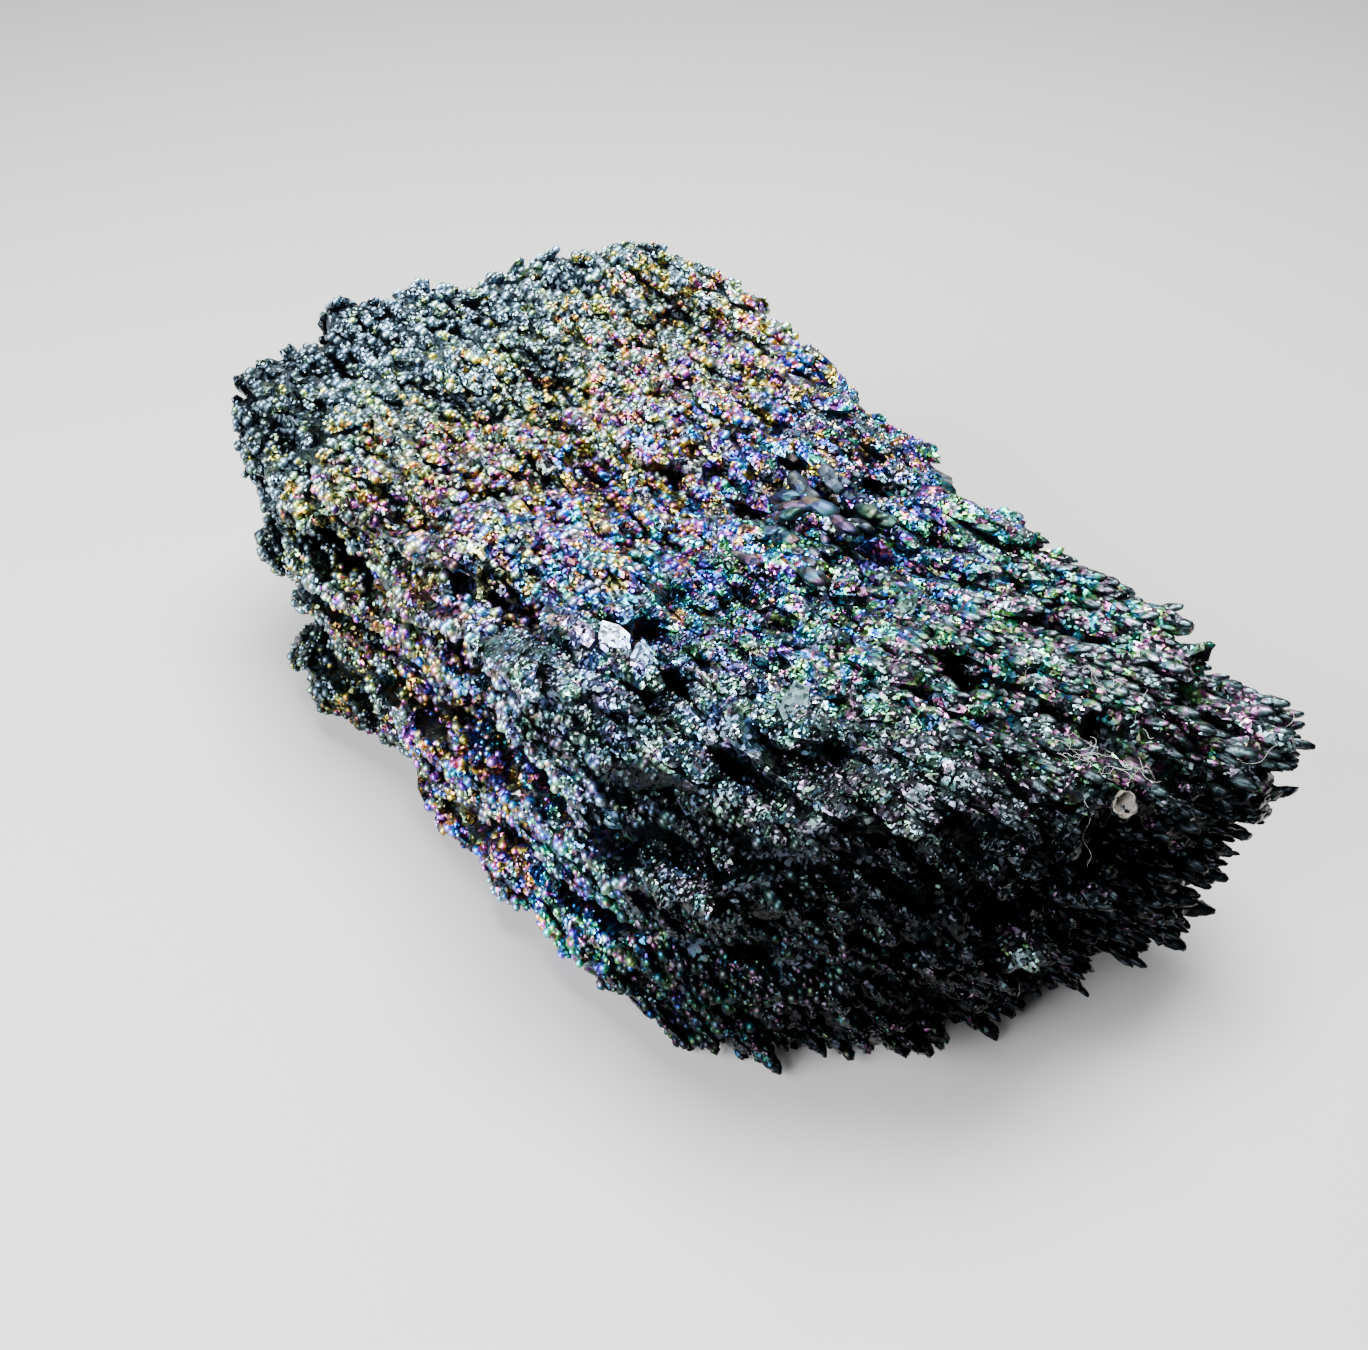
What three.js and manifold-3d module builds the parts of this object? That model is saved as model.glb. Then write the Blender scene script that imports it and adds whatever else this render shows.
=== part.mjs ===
// A furnace-grown silicon carbide specimen: one heavy block of intergrown crystals, resting on its underside.
// Its top is a broad rough plateau that rises to a peak at the far end, its left flank is built of long
// strata with deep grooves between them, both ends are undercut, and the near end and the near right bristle
// with teeth that fan out the way the crystals grew. The specimen grew as one piece, so it is one solid.
//
// Millimetres, +Z up. X runs along the block, +X to the near end, and +Y to its right side.
// The origin is the centre of the block's plan, on the surface that it rests on.

import * as THREE from "three";
import { ImprovedNoise } from "three/addons/math/ImprovedNoise.js";
import { MeshSurfaceSampler } from "three/addons/math/MeshSurfaceSampler.js";
import { mergeVertices } from "three/addons/utils/BufferGeometryUtils.js";
import Module from "manifold-3d";

// The block's eight corners before its edges are rounded off. Both ends run slantwise across the block.
const CORNERS = {
  farLeftTop: [-86, -50, 51],
  farLeftBottom: [-57, -47, 1],
  farRightTop: [-48, 46, 58],
  farRightBottom: [-40, 33, -2],
  nearLeftTop: [81, -38, 57],
  nearLeftBottom: [59, -42, -3],
  nearRightTop: [89, 45, 45],
  nearRightBottom: [79, 15, -3],
};
const EDGE_POWER = 8; // the higher, the squarer the block's edges

// The surface is a grid of long narrow facets, which run along the block as the strata do.
const BLOCK_REACH = { x: 172, y: 88, z: 55 };
const FACET = { x: 6.6, y: 3.7, z: 3.7 };
const FACET_JITTER = 1.5; // how far a facet's corner strays from the grid

const FAR_BULGE = { out: 18, at: 0.25, halfWidth: 0.8 }; // the far end's plan swells past its corners
const NEAR_LEFT_ROUND = 9; // the near left corner is rounder in plan than the others
const PEAK = { x: -58, y: 29, rise: 10, radius: 17 };

// The crystals grew in strata that climb towards the near end.
const STRATA_SLOPE = 0.3;

// Roughness of the mass, from long swells to single clusters of crystals: wavelength and height.
const SWELLS = [
  { wave: 36, height: 3 },
  { wave: 16, height: 3.2 },
  { wave: 8.5, height: 2.8 },
  { wave: 5, height: 2 },
];

// The deep grooves between the strata on the left flank, by their height at the block's middle.
const GROOVES = [
  { z: 49, depth: 6, halfWidth: 2.6 },
  { z: 28, depth: 7, halfWidth: 3 },
  { z: 9.5, depth: 6, halfWidth: 2.6 },
];

// Hollows in the top, where the crystals never met. A hollow may be longer along X than across.
const HOLLOWS = [
  { x: 8, y: 8, stretch: 1.2, radius: 3.4, depth: 8 },
  { x: 17, y: 16, stretch: 1.2, radius: 3.4, depth: 8 },
  { x: 51, y: 28, stretch: 1.4, radius: 4, depth: 8 },
  { x: 45, y: -18, stretch: 1.2, radius: 4, depth: 7 },
  { x: 54, y: 6, stretch: 1.5, radius: 3, depth: 6 },
  { x: 66, y: 8, stretch: 1.5, radius: 3, depth: 6 },
  { x: 16, y: -35, stretch: 4, radius: 3, depth: 6 },
  { x: 50, y: -31, stretch: 5, radius: 3, depth: 7 },
  { x: 28, y: -22, stretch: 2, radius: 3, depth: 5 },
  { x: -22, y: -26, stretch: 2, radius: 3.4, depth: 5 },
  { x: -40, y: 2, stretch: 1.5, radius: 4, depth: 4 },
];

// Small pits all over the block, and the large crystals on it.
const PITS = { count: 70, stretch: 1.8, radius: 2.6, depth: [2.5, 5] };
const TEETH = { count: 56, radius: [1.6, 2.5], length: [7, 10] };
const PLATES = { count: 36, radius: [2.2, 4.2], thickness: [1, 2] };

const CRYSTAL_BLACK = new THREE.MeshStandardMaterial({
  color: 0x23262b,
  roughness: 0.25,
  metalness: 0.85,
});

const wasm = await Module();
wasm.setup();

const noise = new ImprovedNoise();
const clamp01 = (t) => Math.min(1, Math.max(0, t));
const smooth = (t) => clamp01(t) ** 2 * (3 - 2 * clamp01(t));

// A repeatable stream of numbers from 0 to 1.
function numberStream(seed) {
  let state = seed;
  return () => {
    state = (Math.imul(state, 1664525) + 1013904223) >>> 0;
    return state / 2 ** 32;
  };
}

const between = (random, [low, high]) => low + random() * (high - low);
const anyWay = (random) => new THREE.Vector3(random() - 0.5, random() - 0.5, random() - 0.5);

// A shape with nothing but its positions, and its shared vertices merged.
function bareGeometry(geometry) {
  const bare = new THREE.BufferGeometry().setAttribute("position", geometry.getAttribute("position"));
  return mergeVertices(bare.setIndex(geometry.index), 1e-4);
}

// A closed shape as a solid.
function solidOf(geometry) {
  const bare = bareGeometry(geometry);
  return new wasm.Manifold(
    new wasm.Mesh({
      numProp: 3,
      vertProperties: new Float32Array(bare.getAttribute("position").array),
      triVerts: new Uint32Array(bare.index.array),
    }),
  );
}

function geometryOf(solid) {
  const { vertProperties, triVerts } = solid.getMesh();
  return new THREE.BufferGeometry()
    .setAttribute("position", new THREE.BufferAttribute(vertProperties, 3))
    .setIndex(new THREE.BufferAttribute(triVerts, 1));
}

// The point of the plain block at (a, b, c), each from -1 to 1 along X, Y and Z.
function blockPoint(a, b, c) {
  const corner = (name) => new THREE.Vector3(...CORNERS[name]);
  const along = (far, near) => corner(far).lerp(corner(near), (a + 1) / 2);
  const across = (left, right) => left.lerp(right, (b + 1) / 2);
  const bottom = across(along("farLeftBottom", "nearLeftBottom"), along("farRightBottom", "nearRightBottom"));
  const top = across(along("farLeftTop", "nearLeftTop"), along("farRightTop", "nearRightTop"));
  const point = bottom.lerp(top, (c + 1) / 2);
  const side = (b - FAR_BULGE.at) / FAR_BULGE.halfWidth;
  point.x -= FAR_BULGE.out * Math.max(0, 1 - side * side) * smooth(-a);
  const nearLeft = clamp01(a) ** 4 * clamp01(-b) ** 2;
  point.x -= NEAR_LEFT_ROUND * nearLeft;
  point.y += NEAR_LEFT_ROUND * nearLeft;
  return point;
}

// The same with the edges rounded off.
function roundedPoint(v) {
  const sum = v.toArray().reduce((total, t) => total + Math.abs(t) ** EDGE_POWER, 0);
  const size = sum ** (1 / EDGE_POWER);
  return blockPoint(v.x / size, v.y / size, v.z / size);
}

// How deep a hollow is at a place that lies (x, y, z) from its centre.
const hollowAt = ({ stretch, radius, depth }, x, y, z) =>
  depth * Math.exp(-((Math.hypot(x / stretch, y, z) / radius) ** 3));

// How far the surface stands out at a point, from the swells, grooves and hollows.
function relief(p, outward) {
  const stratum = p.z - STRATA_SLOPE * p.x;
  let out = 0;
  SWELLS.forEach(({ wave, height }, i) => {
    out += height * noise.noise(p.x / (wave * 1.6) + 7 * i, p.y / wave, stratum / wave);
  });
  const onLeft = clamp01(-outward.y * 1.6 - 0.3);
  for (const { z, depth, halfWidth } of GROOVES) {
    const wander = 3 * noise.noise(p.x / 22, z, 3.5);
    const away = (stratum - z - wander) / halfWidth;
    const broken = 0.75 + 0.8 * noise.noise(p.x / 11, z, 8.2);
    out -= onLeft * depth * broken * Math.exp(-away * away);
  }
  const onTop = clamp01(outward.z * 1.5 - 0.3);
  for (const hollow of HOLLOWS) {
    out -= onTop * hollowAt(hollow, p.x - hollow.x, p.y - hollow.y, 0);
  }
  return out;
}

// The mass of the specimen, before the large crystals on it.
function makeMass() {
  const facets = ["x", "y", "z"].map((axis) => Math.round(BLOCK_REACH[axis] / FACET[axis]));
  const grid = bareGeometry(new THREE.BoxGeometry(2, 2, 2, ...facets));
  const position = grid.getAttribute("position");
  const pointAt = (i) => new THREE.Vector3().fromBufferAttribute(position, i);
  for (let i = 0; i < position.count; i++) {
    position.setXYZ(i, ...roundedPoint(pointAt(i)));
  }
  grid.computeVertexNormals();
  const outward = grid.getAttribute("normal");
  const random = numberStream(17);
  const pits = Array.from({ length: PITS.count }, () => ({
    ...PITS,
    depth: between(random, PITS.depth),
    at: pointAt(Math.floor(random() * position.count)),
  }));
  for (let i = 0; i < position.count; i++) {
    const p = pointAt(i);
    const n = new THREE.Vector3().fromBufferAttribute(outward, i);
    let out = relief(p, n);
    for (const pit of pits) {
      out -= hollowAt(pit, p.x - pit.at.x, p.y - pit.at.y, p.z - pit.at.z);
    }
    p.addScaledVector(n, out).addScaledVector(anyWay(random), FACET_JITTER);
    const fromPeak = Math.hypot(p.x - PEAK.x, p.y - PEAK.y) / PEAK.radius;
    p.z += PEAK.rise * Math.exp(-fromPeak * fromPeak) * clamp01((p.z - 20) / 30);
    position.setXYZ(i, p.x, p.y, Math.max(0, p.z));
  }
  return solidOf(grid);
}

// The way the crystals grew at a point: along the strata, fanning out to the right at the near end.
function growth(p) {
  const near = smooth((p.x + 20) / 100);
  const fan = near * (0.1 + 1.3 * smooth((p.y + 10) / 55));
  return new THREE.Vector3(1, 0.1 + fan, STRATA_SLOPE * (1 - 0.5 * near)).normalize();
}

// One tabular crystal, a flat six-sided plate.
const plate = (radius, thickness) => new THREE.CylinderGeometry(radius, radius * 0.94, thickness, 6);

// One bladed crystal with a six-sided point, along +Y.
function tooth(radius, length) {
  const profile = [
    [0, -0.35 * length],
    [radius, -0.35 * length],
    [radius * 0.85, 0.3 * length],
    [0, 0.65 * length],
  ];
  return new THREE.LatheGeometry(profile.map(([x, y]) => new THREE.Vector2(x, y)), 6);
}

// The large crystals: teeth stand out of the near end and the near right, and plates lie anywhere else.
function largeCrystals(mass) {
  const random = numberStream(41);
  const sampler = new MeshSurfaceSampler(new THREE.Mesh(geometryOf(mass).toNonIndexed()));
  sampler.setRandomGenerator(random).build();
  const place = new THREE.Vector3();
  const facing = new THREE.Vector3();
  const lengthwise = new THREE.Vector3(0, 1, 0);
  const made = [];
  const left = { teeth: TEETH.count, plates: PLATES.count };
  while (left.teeth + left.plates > 0) {
    sampler.sample(place, facing);
    const grew = growth(place);
    const kind = facing.dot(grew) > 0.35 && place.x > 10 ? "teeth" : "plates";
    if (left[kind] === 0 || place.z < 6 || facing.z < -0.6) {
      continue;
    }
    left[kind] -= 1;
    let geometry;
    let axis;
    if (kind === "teeth") {
      geometry = tooth(between(random, TEETH.radius), between(random, TEETH.length));
      geometry.scale(1, 1, 0.6);
      axis = grew.addScaledVector(anyWay(random), 0.5);
    } else {
      geometry = plate(between(random, PLATES.radius), between(random, PLATES.thickness));
      geometry.rotateY(random() * Math.PI);
      axis = facing.clone().addScaledVector(anyWay(random), 1.2);
    }
    geometry.applyQuaternion(new THREE.Quaternion().setFromUnitVectors(lengthwise, axis.normalize()));
    geometry.translate(place.x, place.y, place.z);
    made.push(solidOf(geometry));
  }
  return made;
}

const mass = makeMass();
const specimen = wasm.Manifold.union([mass, ...largeCrystals(mass)]).simplify(0.2);

const crystal = new THREE.Mesh(geometryOf(specimen), CRYSTAL_BLACK);
crystal.name = "silicon_carbide_crystal";

// The specimen stands centred over the origin.
const { min, max } = specimen.boundingBox();
crystal.position.set(-(min[0] + max[0]) / 2, -(min[1] + max[1]) / 2, -min[2]);

const group = new THREE.Group();
group.add(crystal);

export default group;
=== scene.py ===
"""The looks of a silicon carbide specimen from a furnace: a block of intergrown, iridescent black crystals.

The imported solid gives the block's form. Its skin is worked up here from the large to the small: a core with
grooves, gaps and pits cut in, lumps that stand on it along the growth, small crystals on the lumps, broad
faces, and then a little lint and a flake of bran. Everything is in metres, with X along the block to its near
end, Y to its right side and Z up.
"""

import logging
import math
from dataclasses import dataclass, field
from enum import Enum
from functools import partial

import bmesh
import bpy
import numpy as np
from mathutils import Matrix, Vector, noise
from mathutils.bvhtree import BVHTree


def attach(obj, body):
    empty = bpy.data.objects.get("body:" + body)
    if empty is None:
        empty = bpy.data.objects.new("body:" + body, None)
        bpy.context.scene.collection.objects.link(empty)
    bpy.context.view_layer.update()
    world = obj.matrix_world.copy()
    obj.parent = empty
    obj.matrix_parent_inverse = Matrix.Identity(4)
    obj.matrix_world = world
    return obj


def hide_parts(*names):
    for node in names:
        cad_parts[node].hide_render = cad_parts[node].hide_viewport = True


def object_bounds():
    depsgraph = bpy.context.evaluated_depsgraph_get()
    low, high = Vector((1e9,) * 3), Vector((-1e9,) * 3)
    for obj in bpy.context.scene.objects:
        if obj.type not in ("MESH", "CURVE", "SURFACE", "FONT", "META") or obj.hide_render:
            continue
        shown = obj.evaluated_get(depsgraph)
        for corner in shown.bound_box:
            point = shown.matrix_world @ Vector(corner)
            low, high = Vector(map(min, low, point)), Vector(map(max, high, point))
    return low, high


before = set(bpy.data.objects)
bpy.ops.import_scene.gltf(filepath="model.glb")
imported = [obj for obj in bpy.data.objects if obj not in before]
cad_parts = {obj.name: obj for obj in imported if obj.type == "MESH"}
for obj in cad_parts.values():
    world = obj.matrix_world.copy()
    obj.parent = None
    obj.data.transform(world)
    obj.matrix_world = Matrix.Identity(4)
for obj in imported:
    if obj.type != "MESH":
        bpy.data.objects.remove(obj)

Tree = bpy.types.NodeTree
Socket = bpy.types.NodeSocket
Shape = bmesh.types.BMesh
Random = np.random.Generator
Point = tuple[float, float, float]

MM = 0.001
NODE = "silicon_carbide_crystal"
BODY = "root"
BAKE_MAP = "OFBake"
CAD_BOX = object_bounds()
# Where the flake of bran lies, and the middle of the smooth crystals round the two large pits.
FLAKE_AT = (79.4 * MM, 8.8 * MM, 47.2 * MM)
BARE_AT = (16.0 * MM, 14.0 * MM)
# How far a place stands over the smoothed block is stored in steps of this height.
STEP = 2 * MM

log = logging.getLogger("specimen")


class Region(Enum):
    """The sides of the block, which each carry lumps and crystals of their own."""

    FAR_TOP = "far_top"
    NEAR_TOP = "near_top"
    LEFT = "left_flank"
    RIGHT = "right_flank"
    ENDS = "ends"
    UNDER = "underside"


class CrystalKind(Enum):
    """The forms that the crystals take: lumps on the core, and the others on the lumps."""

    LUMP = "lump"
    BEAD = "bead"
    DROP = "drop"
    PEBBLE = "pebble"
    TABLET = "tablet"


def linear(hex_colour: str) -> tuple[float, float, float, float]:
    """Turns an sRGB hex colour into linear RGBA.

    Args:
        hex_colour: Six hex digits, with or without a leading #.

    Returns:
        Linear red, green and blue, and an alpha of 1.
    """
    digits = hex_colour.lstrip("#")
    channels = [int(digits[i : i + 2], 16) / 255 for i in (0, 2, 4)]
    curve = [c / 12.92 if c <= 0.04045 else ((c + 0.055) / 1.055) ** 2.4 for c in channels]
    return (*curve, 1.0)


def add_node(tree: Tree, kind: str, inputs: dict | None = None, **settings) -> bpy.types.Node:
    """Adds a node with its settings and links.

    Args:
        tree: The tree that gets the node.
        kind: The node's type name.
        inputs: Input name or number to a value, or to the output socket that feeds it.
        settings: The node's own properties.

    Returns:
        The new node.
    """
    node = tree.nodes.new(kind)
    for name, value in settings.items():
        setattr(node, name, value)
    for key, value in (inputs or {}).items():
        socket = node.inputs[key]
        if isinstance(value, Socket):
            tree.links.new(value, socket)
        else:
            socket.default_value = value
    return node


def started(name: str, inputs: dict[str, float | tuple]) -> tuple[bpy.types.Material, bpy.types.Node]:
    """Starts a node material.

    Args:
        name: The material's name.
        inputs: The shader's input names to their values.

    Returns:
        The material, and its shader node.
    """
    material = bpy.data.materials.new(name)
    material.use_nodes = True
    shader = material.node_tree.nodes["Principled BSDF"]
    for key, value in inputs.items():
        shader.inputs[key].default_value = value
    return material, shader


def in_scene(name: str, data: bpy.types.ID) -> bpy.types.Object:
    """Puts a mesh, a light or a camera in the scene.

    Args:
        name: The new object's name.
        data: What it shows.

    Returns:
        The new object.
    """
    thing = bpy.data.objects.new(name, data)
    bpy.context.scene.collection.objects.link(thing)
    return thing


def rise(values: np.ndarray, start: float, over: float) -> np.ndarray:
    """Eases from 0 to 1 as the values rise.

    Args:
        values: Any numbers.
        start: The value up to which the result is 0.
        over: How much further on it reaches 1, where it stays.

    Returns:
        One number from 0 to 1 for each value.
    """
    held = np.clip((values - start) / over, 0.0, 1.0)
    return held * held * (3.0 - 2.0 * held)


def unit(vectors: np.ndarray) -> np.ndarray:
    """Scales each row to length 1."""
    return vectors / (np.linalg.norm(vectors, axis=1, keepdims=True) + 1e-12)


def gathered(
    items: bpy.types.bpy_prop_collection, key: str, width: int = 1, kind: type = np.float32
) -> np.ndarray:
    """Reads one property of every item in a list of Blender's.

    Args:
        items: Vertices, edges, faces, corners or an attribute's data.
        key: The property's name.
        width: How many numbers it has.
        kind: The type of those numbers.

    Returns:
        All the numbers, one after another.
    """
    values = np.empty(len(items) * width, kind)
    items.foreach_get(key, values)
    return values


def points_of(mesh: bpy.types.Mesh) -> np.ndarray:
    """Reads a mesh's vertices as an array of rows."""
    return gathered(mesh.vertices, "co", 3).reshape(-1, 3).astype(float)


def normals_of(mesh: bpy.types.Mesh) -> np.ndarray:
    """Reads a mesh's vertex normals as an array of rows."""
    return gathered(mesh.vertex_normals, "vector", 3).reshape(-1, 3).astype(float)


def corners_of(mesh: bpy.types.Mesh) -> np.ndarray:
    """Reads which vertex each corner of each face lies on."""
    return gathered(mesh.loops, "vertex_index", kind=np.int32)


def set_points(mesh: bpy.types.Mesh, points: np.ndarray) -> None:
    """Writes a mesh's vertices."""
    mesh.vertices.foreach_set("co", points.astype(np.float32).ravel())
    mesh.update()


def read(mesh: bpy.types.Mesh, name: str, width: int) -> np.ndarray:
    """Reads a stored attribute, as one row of so many numbers for each vertex."""
    values = gathered(mesh.attributes[name].data, "value" if width == 1 else "vector", width)
    return values.reshape(-1, width).astype(float)


def store(mesh: bpy.types.Mesh, name: str, values: np.ndarray) -> None:
    """Stores a number or a vector for each vertex.

    Args:
        mesh: The mesh that gets the attribute.
        name: The attribute's name.
        values: One number a vertex, or one row of three.
    """
    kind, key = ("FLOAT", "value") if values.ndim == 1 else ("FLOAT_VECTOR", "vector")
    attribute = mesh.attributes.get(name) or mesh.attributes.new(name, kind, "POINT")
    attribute.data.foreach_set(key, values.astype(np.float32).ravel())


def mesh_of(shape: Shape, name: str) -> bpy.types.Mesh:
    """Makes a mesh of a shape that is built.

    Args:
        shape: The shape, used up here.
        name: The mesh's name.

    Returns:
        The new mesh.
    """
    mesh = bpy.data.meshes.new(name)
    shape.to_mesh(mesh)
    shape.free()
    return mesh


def bridge(shape: Shape, lower: list, upper: list) -> None:
    """Joins two rings of vertices with a band of faces.

    Args:
        shape: The shape that gets the faces.
        lower: One ring's vertices.
        upper: The other's, in the same order.
    """
    for k in range(len(lower)):
        after = (k + 1) % len(lower)
        shape.faces.new((lower[k], lower[after], upper[after], upper[k]))


def evaluated_mesh(source: bpy.types.Object, name: str) -> bpy.types.Mesh:
    """Bakes an object's modifiers into a new plain mesh, and takes the object away.

    Args:
        source: The object with live modifiers.
        name: The new mesh's name.

    Returns:
        The plain mesh.
    """
    graph = bpy.context.evaluated_depsgraph_get()
    ready = source.evaluated_get(graph)
    mesh = bpy.data.meshes.new_from_object(ready, preserve_all_data_layers=True, depsgraph=graph)
    mesh.name = name
    bpy.data.objects.remove(source)
    return mesh


def smoothed(mesh: bpy.types.Mesh, points: np.ndarray, rounds: int) -> np.ndarray:
    """Relaxes points towards the mean of their neighbours.

    Args:
        mesh: The mesh whose edges say which points are neighbours.
        points: The points to relax.
        rounds: How many times each point moves.

    Returns:
        The relaxed points.
    """
    ends = gathered(mesh.edges, "vertices", 2, np.int32)
    a, b = ends.reshape(-1, 2).T
    most = len(points)
    count = np.bincount(ends, minlength=most)[:, None]
    for _ in range(rounds):
        total = np.zeros_like(points)
        for k in range(3):
            total[:, k] = np.bincount(a, points[b, k], most) + np.bincount(b, points[a, k], most)
        points = 0.5 * points + 0.5 * total / np.maximum(count, 1)
    return points


def settled(mesh: bpy.types.Mesh, rounds: int) -> tuple[np.ndarray, np.ndarray]:
    """Finds the smooth form under a rough mesh.

    Args:
        mesh: The rough mesh, which stays as it is.
        rounds: How many times each point relaxes.

    Returns:
        Each vertex's place on the smooth form, and the outward direction there.
    """
    points = points_of(mesh)
    relaxed = smoothed(mesh, points, rounds)
    set_points(mesh, relaxed)
    facing = normals_of(mesh)
    set_points(mesh, points)
    return relaxed, facing


def modified(mesh: bpy.types.Mesh, kind: str, name: str, **settings) -> bpy.types.Mesh:
    """Puts a mesh through one modifier.

    Args:
        mesh: The mesh, which stays as it is.
        kind: The modifier's type.
        name: The new mesh's name.
        settings: The modifier's properties.

    Returns:
        The new plain mesh.
    """
    scratch = in_scene("scratch", mesh)
    modifier = scratch.modifiers.new(name, kind)
    for key, value in settings.items():
        setattr(modifier, key, value)
    return evaluated_mesh(scratch, name)


def remeshed(mesh: bpy.types.Mesh, grid: float, name: str) -> bpy.types.Mesh:
    """Makes a closed mesh anew, as one skin with faces of an even size."""
    return modified(mesh, "REMESH", name, mode="VOXEL", voxel_size=grid)


def thinned(mesh: bpy.types.Mesh, most: int, name: str) -> bpy.types.Mesh:
    """Takes faces out of a mesh where it is flattest.

    Args:
        mesh: The mesh to thin.
        most: The most triangles that stay.
        name: The new mesh's name.

    Returns:
        The new mesh.
    """
    triangles = sum(len(p.vertices) - 2 for p in mesh.polygons)
    log.info("%s before thinning: %d triangles", name, triangles)
    return modified(mesh, "DECIMATE", name, ratio=min(1.0, most / triangles), use_collapse_triangulate=True)


def finished(
    name: str, mesh: bpy.types.Mesh, material: bpy.types.Material | None = None, rounded: bool = False
) -> bpy.types.Object:
    """Makes a mesh a piece of the specimen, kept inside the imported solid's box.

    Args:
        name: The piece's name.
        mesh: Its mesh, in place.
        material: Its material, unless the mesh has it already.
        rounded: Whether its faces shade into each other.

    Returns:
        The piece.
    """
    low, high = (np.array(corner) for corner in CAD_BOX)
    set_points(mesh, np.clip(points_of(mesh), low, high))
    if material:
        mesh.materials.clear()
        mesh.materials.append(material)
    if rounded:
        mesh.shade_smooth()
    else:
        mesh.shade_flat()
    piece = in_scene(name, mesh)
    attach(piece, BODY)
    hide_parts(NODE)
    log.info("%s: %d triangles", name, sum(len(p.vertices) - 2 for p in mesh.polygons))
    return piece


@dataclass(frozen=True)
class Fade:
    """A slow change over the block: the way that it runs, where it starts and ends, and its value at each."""

    way: Point
    start: float
    end: float
    first: float
    last: float

    def value(self, tree: Tree, source: Socket) -> Socket:
        """Adds the nodes that give the fade's value.

        Args:
            tree: The material's node tree.
            source: The places or directions that it is measured on.

        Returns:
            The value's output socket.
        """
        reach = add_node(tree, "ShaderNodeVectorMath", {0: source, 1: self.way}, operation="DOT_PRODUCT")
        span = {"From Min": self.start, "From Max": self.end, "To Min": self.first, "To Max": self.last}
        eased = add_node(
            tree,
            "ShaderNodeMapRange",
            {"Value": reach.outputs["Value"], **span},
            interpolation_type="SMOOTHSTEP",
        )
        return eased.outputs[0]


@dataclass(frozen=True)
class FilmStop:
    """One step of the interference colours: where it lies on the scale of film thickness, and its colour."""

    at: float
    colour: str


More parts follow.
